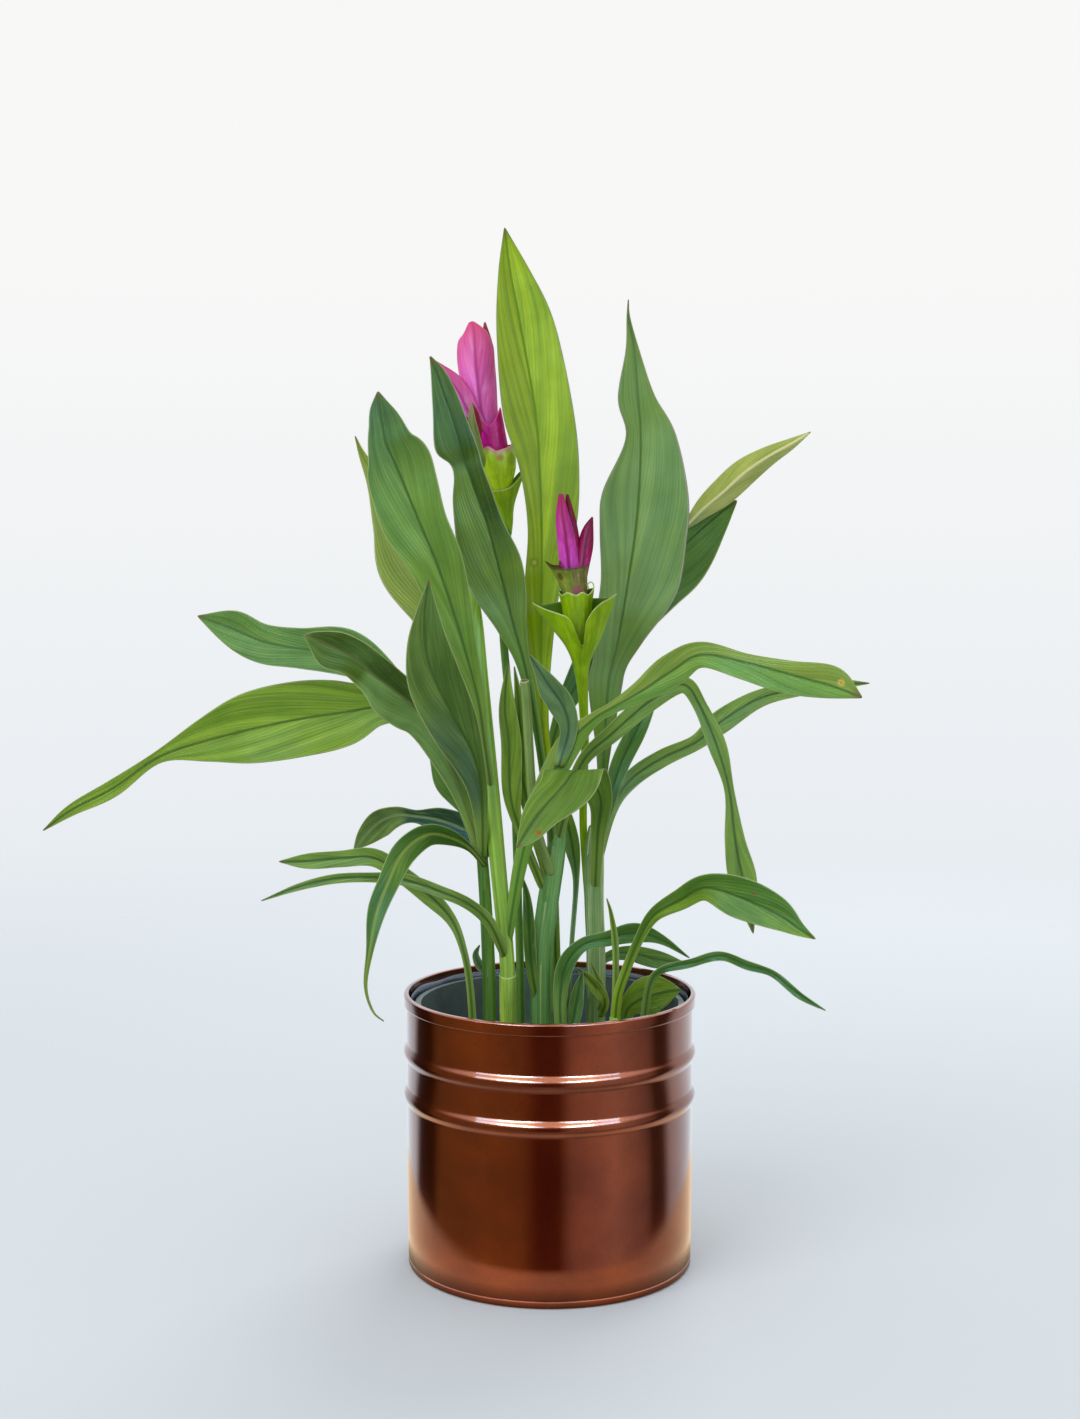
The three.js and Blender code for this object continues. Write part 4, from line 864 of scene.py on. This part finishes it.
def cup(stations, finish, rim, rows=20, wall=0.45, inside_from=0.45, roll=0):
    """An open cup through stations (x, y, z, radius). Its rim is a list of (turn, rise, flare): how far the
    edge rises and leans out at each turn, in degrees from the front to the right. A roll turns it down."""
    shares = np.linspace(0, 1, rows + 1)[:, None]
    path, along = through([s[:3] for s in stations], shares[:, 0])
    radii, _ = through([(s[3], 0, 0) for s in stations], shares[:, 0])
    across, face = frames(along)
    turns = np.arange(CUP_SIDES)[None, :] * 360 / CUP_SIDES
    places = [r[0] % 360 for r in rim]
    rise, flare = (np.interp(turns, places, [r[i] for r in rim], period=360) for i in (1, 2))
    near = np.clip((shares - RIM_FROM) / RIM_OVER, 0, 1) ** RIM_BEND
    lip = np.clip((shares - ROLL_FROM) / ROLL_OVER, 0, 1) * math.pi / 2
    outer = radii[:, :1] + near * flare + roll * np.sin(lip)
    up = near * rise - roll * (1 - np.cos(lip))
    first = int(inside_from * rows)
    back = slice(None, first, -1)
    radius = np.concatenate([outer, outer[back] - wall])
    height = np.concatenate([up, up[back]])
    path, along, across, face = (
        np.concatenate([v, v[back]])[:, None, :] for v in (path, unit(along), across, face)
    )
    angle = np.radians(turns)
    out, forth = (radius * np.sin(angle))[..., None], (radius * np.cos(angle))[..., None]
    points = path + across * out + face * forth + along * height[..., None]
    tall = math.dist(stations[0][:3], stations[-1][:3])
    share = np.concatenate([SHORT_OF_TIP * shares, 0 * shares[back] + 1])
    from_edge = np.concatenate([(1 - shares) * tall, (1 - shares[back]) * tall]) + 0 * radius
    blade = np.stack([np.sin(angle) + 0 * radius, share + 0 * radius, 0 * radius], axis=-1)
    number = turns * CUP_VEINS / 360
    veins = np.stack([number + 0 * radius, FAR_FROM_RIB + 0 * radius, from_edge], axis=-1)
    points, blade, veins = (np.concatenate([v, v[:, :1]], axis=1) for v in (points, blade, veins))
    return laid_grid(points, blade, veins, finish)


lime_stalk = leaf_finish(
    "leaf sheath, lime", "#C8EC60", "#ACD450", right="#B8E468", rib="#5E8A2E", foot="#B8DC60", streak=0.9,
    margin="#CCDC98",
)
cut_stalk = leaf_finish(
    "leaf stalk, cut and drying", "#A4BC74", "#8CA85C", rib="#5E8A2E", foot="#98B464", streak=0.8,
    margin="#D8D0A0", margin_width=2.5,
)
# The darker end of this leaf, from three quarters of its length on, is painted shade.
large_green = leaf_finish(
    "leaf, grey-green with a dark midrib", "#88B04B", "#6A963A", rib="#3F6528",
    zones=(("both", 0.76, 0.9, "#4C6A2C"),),
)
olive = leaf_finish(
    "leaf, olive underside", "#99AA43", "#849638", rib="#75882F", margin="#B8C07C", streak=0.4,
)
two_tone = leaf_finish(
    "leaf, olive above its midrib and green below", "#A2BA58", "#8EB050", right="#76A538", rib="#466B28",
    margin="#98AC6C", foot="#71A43B", foot_to=0.45,
    spots=((130.5, -72, 290.5, 2.2, "#E3C55F"), (130.5, -72, 290.5, 1.1, "#9C7130")),
)
bright_shoot = [
    shoot([(-20, -17, STEM_FOOT, 3.7), (-20, -17, 104, 3.7), (-20, -17, 142, 3.7), (-21.5, -17, 165, 3.8),
           (-24.5, -16, 196, 4), (-27.6, -14, 229, 4.2), (-30.6, -9, 258, 4.3), (-33.6, -4, 288, 4.2),
           (-36, 1, 317, 3.6), (-37.4, 5, 334, 1.2)], lime_stalk, start=0.12, winding=0.08, rows=40),
    cup([(-20, -17, STEM_FOOT, 3.9), (-20, -17, 100, 4), (-20, -17, 126, 4.1), (-20.2, -17, 145, 4.15)],
        lime_stalk, rim=((0, 0, 0), (90, 1, 0), (180, 5, 0), (270, 1, 0))),
    leaf([(-27, -14, 228, 2), (-31, -19, 259, 2), (-34, -23, 280, 3.4), (-41, -28, 307, 7.7, 6.7),
          (-47, -32, 327, 11, 10.5), (-53, -36, 345, 13.3, 12.9), (-60, -38, 362, 17.6, 13.2),
          (-66, -40, 377, 17, 15.8), (-71, -41, 389, 14.4, 17.4), (-75, -42, 398, 9, 14),
          (-76.5, -42, 406, 6.8, 10.4), (-78, -42, 414, 4.6, 6.6), (-78.6, -42, 422, 0.4)], large_green,
          rows=72),
    leaf([(-27, -13, 232, 1.6), (-35, 0, 262, 2), (-43, 8, 293, 4), (-55, 13, 321, 14, 8.9),
          (-67, 17, 343, 18, 10.9), (-76, 21, 363, 11.5, 9), (-84, 25, 381, 6, 5), (-92, 28, 395, 2),
          (-96, 30, 405, 0.3)], olive, fold=10),
    leaf([(-21, -18, 158, 2.2), (-13, -22, 205, 3.6), (-3, -24, 234, 5.6), (9, -26, 258, 6.3),
          (20, -31, 270, 3.4), (29, -35, 276, 2.9), (42, -40, 284, 5.2), (56, -46, 294, 8.5, 7.5),
          (69, -52, 302, 6.5, 6.1), (89, -60, 299, 4.2, 8.3), (108, -66, 294, 6.5, 9.2),
          (127, -70, 289, 9.2, 6), (140, -73, 284, 0.4)], two_tone, rows=72),
    leaf([(4, -25, 247, 3), (9, -28, 265, 4.3), (6, -31, 277, 6.7, 5.7), (0, -35, 286, 6.2, 5.2),
          (-5, -38, 294, 2.8), (-10, -41, 302, 0.3)], teal_green, stalk=0.1, rows=26),
    leaf([(-21, -18, 154, 2), (-28, -30, 173, 2.9), (-38, -38, 184, 2.9), (-51, -44, 191, 2.9),
          (-67, -48, 197, 2.8, 3.3), (-83, -52, 199, 2.4), (-99, -56, 199, 2.4), (-115, -60, 196, 1.9, 1.6),
          (-132, -64, 190, 0.3)], mid_green),
]
joined("bright_shoot", bright_shoot, "leaf_bright", "stem_bright")


# The centre shoot is the widest. It carries the tall leaf that the light comes through, a folded leaf to
# its left, two narrow upright ones, a channelled leaf that droops to the right, a stalk cut short and a
# short dark leaf.
teal_stalk = leaf_finish(
    "leaf sheath, teal beside green", "#8CC47C", "#74AC6C", right="#B4E064", rib="#4A7030", foot="#82B468",
    streak=0.9, margin="#D0DCB0", margin_width=0.9,
)
lime_leaf = leaf_finish(
    "leaf, lime with the light behind it", "#A8BC06", "#90AA04", right="#B8D000", pale="#C4D414",
    rib="#64890B", margin="#8FA070", foot="#BCD206", glow="#C0DC00", through_light=0.45, gloss=0.48,
    streak=0.75,
    spots=((-7.6, 9, 343, 3, "#697210"), (-7.6, 9, 343, 1.7, "#C1C525"), (-18.5, 17, 474, 0.9, "#EFEF46")),
)
# The darker right half from past the middle, and the darker left half above the notch, are painted shade.
lobed_green = leaf_finish(
    "leaf, folded, one half in shade", "#80A43A", "#6A8C2E", rib="#34541A", shade="#B4B884", foot="#6C9C44",
    margin="#A8B88C", zones=(("right", 0.56, 0.66, "#3C5C14"), ("left", 0.765, 0.79, "#42660E")),
)
centre_shoot = [
    shoot([(-4.5, -2, STEM_FOOT, 5.4), (-4.5, -2, 104, 5.4), (-4, -2, 150, 5.3), (-1, -2, 178, 5.2),
           (3, -2, 204, 4.6), (5, -2, 224, 2.4)], teal_stalk, sheaths=3, start=0.05, winding=-0.12),
    leaf([(3, -1, 200, 3), (-1, 2, 240, 3), (-4, 4, 274, 3.6), (-4, 8, 325, 8.4), (-4, 10, 359, 6.9, 17.3),
          (-5, 12, 388, 9.9, 19.8), (-7, 14, 416, 16.3, 18.8), (-14, 18, 456, 12.4, 16.8),
          (-19, 20, 482, 6.4, 9.9), (-22, 23, 505, 0.3)], lime_leaf, stalk=0.3, rows=64),
    leaf([(2, -4, 205, 2.2), (-6, -4, 262, 2), (-12, -5, 294, 3.9, 2.9), (-17, -6, 312, 8.2, 6.4),
          (-21, -6, 328, 14.6, 10.4), (-25, -7, 344, 18, 11.6), (-29.5, -8, 361, 16.6, 7.8),
          (-35, -9, 376, 12.2, 7.8), (-38.5, -10, 386, 7.6), (-40.5, -10, 392, 7.4, 8),
          (-42.4, -11, 399, 12.4, 7.6), (-46, -11, 412, 9.8, 6.2), (-49.5, -11, 422, 6.6, 5.8),
          (-53, -11, 432, 3.4, 4.2), (-56.5, -11, 440.5, 0.3, 0.4)], lobed_green, rows=72),
    leaf([(-3, -4, 185, 2.2), (-15, -10, 217, 2.6), (-19, -11, 234, 4, 6.1), (-19.5, -12, 256, 4, 6.6),
          (-21.5, -12, 275, 3, 5.6), (-20, -12, 296, 0.3)], bright_green, stalk=0.3, fold=20, rows=32),
    leaf([(-1, -4, 190, 2), (-12, -8, 234, 3.5), (-14, -9, 256, 3, 3.5), (-15, -9, 277, 2, 2.5),
          (-17, -9, 294, 0.3)], bright_green, stalk=0.3, fold=15, rows=32),
    leaf([(3, -3, 205, 2.4), (14, -9, 245, 2.9), (30, -13, 262, 4.4), (48, -16, 278, 4.9),
          (63, -20, 286, 4.4), (71, -22, 276, 3.4), (79, -24, 257, 4.8, 4.3), (85, -24, 236, 2.4),
          (88, -24, 212, 4.9, 5.3), (92, -24, 192, 6.8), (97, -24, 167, 0.3)], mid_green, stalk=0.2,
          rows=56),
    cup([(1, -5, 192, 2.3), (-6, -12, 215, 2.3), (-9, -14, 240, 2.3), (-11, -15, 276, 2.3),
         (-12, -15, 287, 2.2)], cut_stalk, rows=28, inside_from=0.9, rim=((0, 0, 0), (180, 1, 0))),
    leaf([(-6, -4, 130, 2.4), (-9, -8, 150, 3), (-10, -9, 168, 3), (-11, -9, 182, 2), (-13, -9, 192, 0.3)],
         deep_green, stalk=0.3, rows=24),
]
joined("centre_shoot", centre_shoot, "leaf_bright", "stem_centre")


# The far right leaf stands behind the others on a stalk of its own. Its dark blade is turned over near the
# end, so its last part shows its olive underside.
underside = leaf_finish(
    "leaf, olive underside with a pale rib", "#C2CA66", "#ABB562", right="#B0B76B", rib="#FAF3C0",
    margin="#B8C07C", streak=0.5,
)
far_right = [
    lone_stalk(4, 26, 2.6),
    leaf([(4, 26, 112, 2.6), (2, 24, 180, 2.4), (0, 22, 240, 2.2), (6, 28, 268, 4), (20, 34, 292, 9),
          (35, 41, 312, 13.6, 13.4), (49, 49, 329, 15, 16.5), (60, 57, 342, 15, 19),
          (72, 66, 354, 12, 16.4), (85, 74, 365, 6.2, 9), (97, 82, 374, 0.5)], deep_green, stalk=0.4,
          fold=8, rows=60),
    leaf([(69, 64, 360, 1.5), (79, 68, 370, 5.1), (89, 75, 378, 7.2, 7), (101, 83, 388.5, 7.3),
          (114, 90, 397, 5.4, 5.2), (126, 95, 403.5, 3.1), (137, 99, 410, 0.3)], underside, stalk=0,
          fold=-8, rows=44),
]
joined("far_right_leaf", far_right, "leaf_green", "leaf_far_right")


# The right shoot carries the big grey-green leaf, the leaf that flops over to the front, a dark blade, a
# narrow leaf that reaches far to the right, and two young ones low down
ribbed_stalk = leaf_finish(
    "leaf sheath, ribbed grey and green", "#CCE4B4", "#A4C48C", right="#8CB470", rib="#4A7030",
    foot="#A4C088", streak=1, margin="#E0E8D0", margin_width=0.9,
)
grey_green = leaf_finish(
    "leaf, grey-green", "#86A446", "#6F913C", pale="#9CB75B", rib="#4E722B", margin="#A89C94",
    foot="#6E943B",
)
spotted_green = leaf_finish(
    "leaf, mid green with a brown spot", "#769A3A", "#5C7E2E",
    spots=((-5, -69, 222, 1.8, "#A0541C"), (-6.5, -70, 220.6, 1.1, "#8C5A24")),
)
right_shoot = [
    shoot([(22.5, 2, STEM_FOOT, 4.7), (22.5, 2, 104, 4.7), (22.5, 2, 150, 4.6), (21.5, 2, 178, 4.7),
           (21.5, 2, 200, 4.8), (22, 2, 216, 3)], ribbed_stalk, sheaths=5, start=0.06, winding=0.05,
           seam=0.16),
    leaf([(22, 4, 196, 2.4), (26, 15, 240, 2.6), (28.5, 19, 280, 9.8, 6.9), (31, 21, 293, 10.5, 7.4),
          (34, 23, 306, 13.9, 12.6), (38, 27, 330, 13.6, 25.3), (42, 31, 356, 18.2, 26.3),
          (44, 34, 376, 18.7, 25.3), (45, 38, 404, 7.6, 18.3), (44, 42, 424, 10.7, 8.6),
          (42, 44, 448, 4.6, 2.5), (39, 45, 464, 1), (39, 46, 473, 0.3)], grey_green, rows=72),
    leaf([(22, 0, 184, 2.4), (23, -11, 213, 3.4, 3.9), (24, -24, 233, 7, 6), (14, -37, 247, 16, 13),
          (6, -51, 241, 12.1, 13.9), (-4, -62, 231, 8.7, 9.6), (-11, -70, 222, 3.6, 6.4),
          (-15, -74, 216, 0.3)], spotted_green, stalk=0.2, fold=8, side=(1, 0, 0)),
    leaf([(22, 4, 196, 2), (28, 6, 222, 3), (34, 9, 243, 5, 4.5), (42, 11, 260, 5), (48, 13, 272, 3.5),
          (54, 15, 280, 0.3)], deep_green, rows=28),
    leaf([(22, 4, 190, 2), (30, 12, 221, 3), (40, 18, 236, 4.5), (56, 25, 246, 4.6), (73, 32, 253, 4.1),
          (86, 38, 263, 6.2), (106, 46, 274, 4.7), (127, 54, 278, 3.6), (149, 62, 280, 2.6),
          (165, 68, 280, 0.3)], mid_green, stalk=0.2, rows=52),
    leaf([(24, -1, 124, 1.6), (26.5, -7, 131, 2.8), (20, -10, 141, 3.4), (13, -11, 148, 0.3)], bright_green,
         stalk=0.1, fold=25, rows=24),
    leaf([(25, -2, 122, 1.6), (27, -7, 130, 2.2), (24, -9, 140, 2), (20, -9, 150, 0.3)], bright_green,
         stalk=0.1, fold=20, rows=20),
]
joined("right_shoot", right_shoot, "leaf_green", "stem_right")


# The front right leaf bends over the rim on a thin pale stalk, with a young spear beside it
arched_green = leaf_finish(
    "leaf, arched, darker above its midrib", "#5E892D", "#4F7C2B", right="#85A832", rib="#385D12",
    foot="#95BA29", foot_to=0.3, spots=((93, -62, 193, 1.6, "#7F521E"),),
)
front_right = [
    lone_stalk(31, -27, 2.6, middle=104, top=128, finish=lime_stalk, start=0.8),
    leaf([(31, -27, 118, 2.6), (32, -27, 136, 2.4), (36, -29, 150, 2.4), (42, -33, 166, 2.4),
          (49, -38, 179, 3.4), (61, -44, 187, 5.7, 4.8), (72, -50, 194, 6.6, 6.2), (87, -58, 191, 9.9),
          (103, -66, 185, 8.4, 7.9), (113, -72, 179, 3.2, 3.7), (120, -76, 175, 0.3)], arched_green,
          stalk=0.35, rows=52),
    leaf([(31, -27, 118, 2), (31.5, -26, 151, 1.6), (31, -26, 165, 1.7), (29, -27, 178, 1),
          (27, -28, 185, 0.3)], bright_green, stalk=0.6, rows=28),
]
joined("front_right_leaf", front_right, "leaf_green", "leaf_front_right")


# Short and young leaves round the foot of the shoots: a narrow wavy one, an arched one in the middle with
# young leaves beside it, one at the back and a broad one that lies inside the rim
grey_shade = leaf_finish(
    "leaf, blue-grey shade side", "#5F9042", "#4E7C38", rib="#345C28", margin="#A8B890",
)
wavy = [
    lone_stalk(45, -9, 2.1),
    leaf([(45, -9, 112, 2.1), (48, -10, 138, 2), (54, -12, 147, 2), (68, -14, 151, 2.4),
          (82, -16, 155, 2.4), (94, -18, 151, 2.4), (107, -20, 147, 1.9), (120, -22, 137, 1.5, 2.2),
          (132, -24, 130, 0.3)], grey_shade, stalk=0.3, fold=18, wave=(0.8, 6, 0)),
]
joined("wavy_leaf", wavy, "leaf_green", "leaf_wavy")
short = [
    lone_stalk(6, -17, 2.6),
    leaf([(6, -17, 112, 2.6), (5, -17, 134, 3.4), (8, -18, 151, 4.6, 4.2), (16, -19, 161, 3.4),
          (28, -19, 164, 3.9), (41, -16, 166, 5.4, 4.9), (54, -12, 162, 2.5), (68, -8, 152, 0.3)],
          grey_shade),
    leaf([(9, -17, 112, 2.4), (12, -15, 126, 4, 3.6), (14, -14, 138, 2.8), (16, -13, 147, 0.3)], deep_green,
         stalk=0.2, rows=20),
    leaf([(6, -16, 114, 1.6), (9, -10, 132, 1.2), (11, 2, 160, 1.2), (13, 10, 187, 1.6), (11, 13, 204, 4),
          (8, 15, 219, 3), (6, 16, 228, 0.3)], mid_green, stalk=0.6, rows=36),
]
joined("short_leaf", short, "leaf_green", "leaf_short")
back = [
    lone_stalk(21, 44, 2.1),
    leaf([(21, 44, 112, 2.1), (22, 46, 130, 2), (28, 48, 140, 2.4), (40, 51, 142.5, 4), (56, 56, 138, 4.8),
          (71, 60, 135, 0.3)], blue_green, stalk=0.3, rows=32),
]
joined("back_leaf", back, "leaf_green", "leaf_back")
inside = [
    lone_stalk(36, 16, 2.6, top=118),
    leaf([(36, 16, 110, 2.6), (39, 14, 122, 5), (47, 12, 128, 10), (56, 10, 131, 9, 7), (65, 8, 133, 0.3)],
         bright_green, stalk=0.15, fold=6, rows=30),
]
joined("inside_leaf", inside, "leaf_green", "leaf_inside")


# The left flower head: a green stalk that widens into two cups of pale-edged green bracts, and in them the
# orchid-pink coloured bracts, thin and satiny. The largest is a closed hood, rose-red at its tip.
bract_green = leaf_finish(
    "bract, fresh green", "#A8D00C", "#86B404", pale="#D0EC20", rib="#6C9C0A", margin="#C4D48C",
    foot="#8BBF12", tip="#4C7018", gloss=0.4, streak=0.7, tip_from=0.93, margin_width=0.9,
)
bract_leaf = leaf_finish(
    "bract tip, pale green", "#8EB44C", "#74A03A", rib="#B09A84", margin="#D8A49C", foot="#86AE34",
    tip="#B8907C",
)
pink_footed = leaf_finish(
    "bract, green with a flushed edge", "#D7FA26", "#B0E21C", pale="#FAFA58", rib="#97CC1A",
    margin="#D89AA8", foot="#C7EB24", tip="#7A3A34", tip_from=0.93, margin_width=3.4,
    spots=((-24, 12, 394, 3, "#AA731D"), (-18, 16, 393, 4, "#97AF1A")),
)
orchid = leaf_finish(
    "bract, orchid pink", "#FFA0F4", "#F080E0", right="#F47CCC", pale="#FFD0F8", rib="#B0388C",
    margin="#C43A7C", foot="#DC3CC4", tip="#D04C70", glow="#F878E0", tip_from=0.5, foot_to=0.4,
    margin_width=0.9, streak=0.8, shade="#D8A0C8",
)
magenta = leaf_finish(
    "bract, magenta", "#E810B0", "#CC0890", right="#DC1890", pale="#F860D8", rib="#8C0468",
    margin="#E860A8",
    foot="#D05C88", tip="#A8104C", glow="#F830C8", tip_from=0.93, foot_to=0.22, margin_width=0.8,
    streak=0.9,
    shade="#C880B0",
)
maroon = leaf_finish(
    "bract, maroon inside", "#A01848", "#801038", rib="#A03048", margin="#D06080", foot="#701030",
    tip="#B83060", shade="#C08898",
)
left_green = [
    shoot([(-14, 9, STEM_FOOT, 2.1), (-14, 9, 122, 2.1), (-15, 9, 162, 2), (-17, 12, 226, 2),
           (-20, 16, 275, 2), (-23, 19, 312, 2), (-22, 21, 344, 2.1), (-21, 22, 363, 2.6),
           (-22.5, 22, 374, 3.8)], stalk_green, sheaths=1, rows=60),
    cup([(-21, 22, 356, 2.3), (-21, 22, 364, 3.1), (-22.4, 22, 371, 4.6), (-23.6, 22, 378, 6.4)],
        bract_green,
        rim=((0, 0, 0), (45, 1, 0.6), (75, 4, 2.6), (90, 9, 8), (105, 7.6, 4), (150, 2, 0), (220, 2, 0),
             (300, 1, 0.5))),
    cup([(-23, 22, 370, 3.4), (-23.6, 22, 376, 4.3), (-24.2, 22, 382, 6.4), (-25, 22, 387, 8.6),
         (-25.6, 22, 392, 9.3), (-26, 22, 397, 8.6)], pink_footed,
        rim=((0, 0, -0.6), (30, 1, 0), (60, 2.4, 0), (90, 3.4, 0), (140, 3, 0), (220, 3, 0), (290, 5, -0.6),
             (330, 3, -0.6))),
    leaf([(-33, 16, 389, 2.6), (-35.5, 12, 400, 2.8), (-37.5, 9, 411, 2), (-38, 8, 420.5, 0.3)], bract_leaf,
         stalk=0, fold=14, curl=-30, rows=24),
]
joined("left_flower_cup", left_green, "bract_green", "bloom_left_green")
left_pink = [
    cup([(-26.4, 22, 391, 5.8), (-27.4, 22, 397, 7.2), (-28.6, 22, 404, 7.2), (-29.6, 22, 410, 6.8)],
        magenta, inside_from=0.2,
        rim=((0, -1, -0.4), (25, 1, -0.2), (50, 5, 0.2), (70, 8, 0.6), (90, 5, 0.2), (150, 2, 0),
             (230, 5, 0), (290, 8, 0.4), (320, 4, 0))),
    leaf([(-29, 20.5, 398, 6), (-31.5, 20, 408, 7), (-33.6, 19, 418, 8, 8.2), (-35, 18, 430, 8.6, 9),
          (-36, 17, 440, 9.2), (-36.4, 17, 448, 8.9), (-36.8, 17.6, 454, 7, 6.6), (-38.3, 19, 459.6, 1.2)],
          orchid, stalk=0, fold=0, curl=-72, rows=44),
    leaf([(-28, 24, 400, 3.4), (-30, 26, 422, 4.4, 3.6), (-30.6, 26, 446, 3.6, 3.2), (-31.8, 26, 460, 0.4)],
         maroon, stalk=0, fold=0, curl=-50, rows=28),
    leaf([(-29, 21, 400, 3.4), (-39, 16, 415, 5.6), (-46, 13, 428, 4.6, 5.4), (-58, 8, 441.5, 0.3)], orchid,
         stalk=0, fold=-10, curl=-20, rows=28),
    leaf([(-33, 18, 396, 3), (-36, 17, 406, 4.2), (-39, 17, 416, 4), (-42, 17, 424, 0.4)], maroon, stalk=0,
         fold=0, curl=30, rows=20),
]
joined("left_flower_bracts", left_pink, "bract_pink", "bloom_left_pink")


# The right flower head is younger: a flared green cup with two pointed lobes, a wavy one in it, a third
# with a brown curled rim above, and one violet and three crimson bracts that are still half closed
brown_rimmed = leaf_finish(
    "bract, pale green with a brown rim", "#9CAC40", "#7E9030", right="#A48A5C", pale="#C0C878",
    rib="#6E8A38", margin="#52300F", foot="#8CB040", tip="#4A2C10", tip_from=0.93, margin_width=2,
    streak=0.9, spots=((13, -21, 330, 3.4, "#A8506C"), (5, -19, 337, 2.6, "#5A4A1C")),
)
violet = leaf_finish(
    "bract, violet pink", "#F064EC", "#D83CCC", pale="#FF9CF4", rib="#840458", margin="#E088A0",
    foot="#F078F0", tip="#A80444", glow="#F860E0", tip_from=0.2, foot_to=0.3, margin_width=0.7, streak=0.9,
    shade="#C890B8",
)
crimson = leaf_finish(
    "bract, crimson", "#CC0C80", "#A00450", pale="#F070C0", rib="#680434", margin="#50081E", foot="#EC58CC",
    tip="#70041E", glow="#E03CA0", tip_from=0.3, foot_to=0.4, margin_width=0.9, streak=0.9, shade="#B87898",
)
right_green = [
    shoot([(22, 13.5, STEM_FOOT, 2.1), (22, 13.5, 122, 2.1), (21, 13, 152, 2), (18, 12, 192, 2),
           (16.5, 8, 214, 1.9), (16.5, 4, 232, 1.9), (17, -2, 255, 1.9), (16, -8, 277, 2.3),
           (15.4, -12, 290, 3)], bract_green, sheaths=1, rows=60),
    cup([(15.8, -9, 280, 2.2), (15.2, -12, 290, 3.2), (15, -13, 296, 4.4), (15, -14, 301.5, 6.4),
         (14.8, -14, 306, 8.8), (14.2, -14, 310.5, 10.8), (13.6, -14, 314, 12)], bract_green, rows=28,
        inside_from=0.35,
        rim=((0, -13, 0), (7.5, -6, 0.6), (15, 1, 1), (37.5, 6.4, 1.4), (60, 9, 2.6), (75, 10, 5),
             (90, 12, 9.6), (105, 10, 5), (130, 11, 0), (180, 12, -2), (230, 12, 0), (255, 12, 4.6),
             (270, 15, 9), (285, 11.6, 5), (315, 8, 1.6), (337.5, 5.4, 0.6), (345, 3, 0.4),
             (352.5, -2, 0.6))),
    cup([(14, -14, 300, 4.4), (13.4, -14, 308, 6), (13, -14, 318, 6.5), (12.4, -14, 329.6, 7)], bract_green,
        inside_from=0.6, roll=0.5,
        rim=((0, -0.8, 0.3), (22, 0.8, 0.8), (45, -1, 0.8), (67, 1.6, 1.4), (90, 2.2, 1.4), (150, 1, 0),
             (210, 1, 0), (270, 1.8, 1), (300, -0.6, 0.4), (330, 1, 0.8))),
    leaf([(18, -19, 328, 0.9), (19.8, -20, 329.6, 1), (20.8, -20, 332.4, 1), (19.4, -20, 334.4, 1),
          (17.8, -20, 333, 0.9), (18.6, -20, 331, 0.5)], bract_green, stalk=0, fold=0, side=(0, 1, 0),
          rows=24),
]
joined("right_flower_cup", right_green, "bract_green", "bloom_right_green")
right_pink = [
    cup([(12.4, -14, 325, 5.6), (11.6, -14, 331, 6.4), (10.6, -14, 337, 7.2), (9.6, -14, 342, 8)],
        brown_rimmed, inside_from=0.4, roll=0.7,
        rim=((0, -0.6, 0.2), (40, -0.8, 0), (90, -0.6, 0.4), (180, 1, 0), (240, 2.6, 1), (262, 5, 2.4),
             (275, 5.4, 3), (295, 2.2, 1.6), (330, 0.2, 0.6))),
    leaf([(10, -15, 333, 4), (8.8, -17, 344, 4.4, 4.8), (7.4, -18, 356, 4.2), (6, -18, 366, 3.2, 3),
          (5.2, -17.5, 376, 1)], violet, stalk=0, fold=0, curl=-68, rows=36),
    leaf([(11.5, -13, 333, 4), (11, -13, 348, 4, 3.8), (9.9, -13.5, 362, 3.2, 2.8), (8.2, -14, 375.8, 0.5)],
         crimson, stalk=0, fold=0, curl=-68, rows=32),
    leaf([(14, -14, 333, 3), (15.6, -14, 342, 3.2), (16.8, -13.5, 351, 3.8), (18.2, -13, 359, 2.6),
          (20.2, -12.5, 365, 0.3)], crimson, stalk=0, fold=0, curl=-62, rows=32),
    leaf([(6.4, -17, 335, 1.6), (5.2, -18, 340, 1.2), (4.8, -18, 344.5, 0.3)], crimson, stalk=0, curl=-30,
         rows=12),
]
joined("right_flower_bracts", right_pink, "bract_pink", "bloom_right_pink")
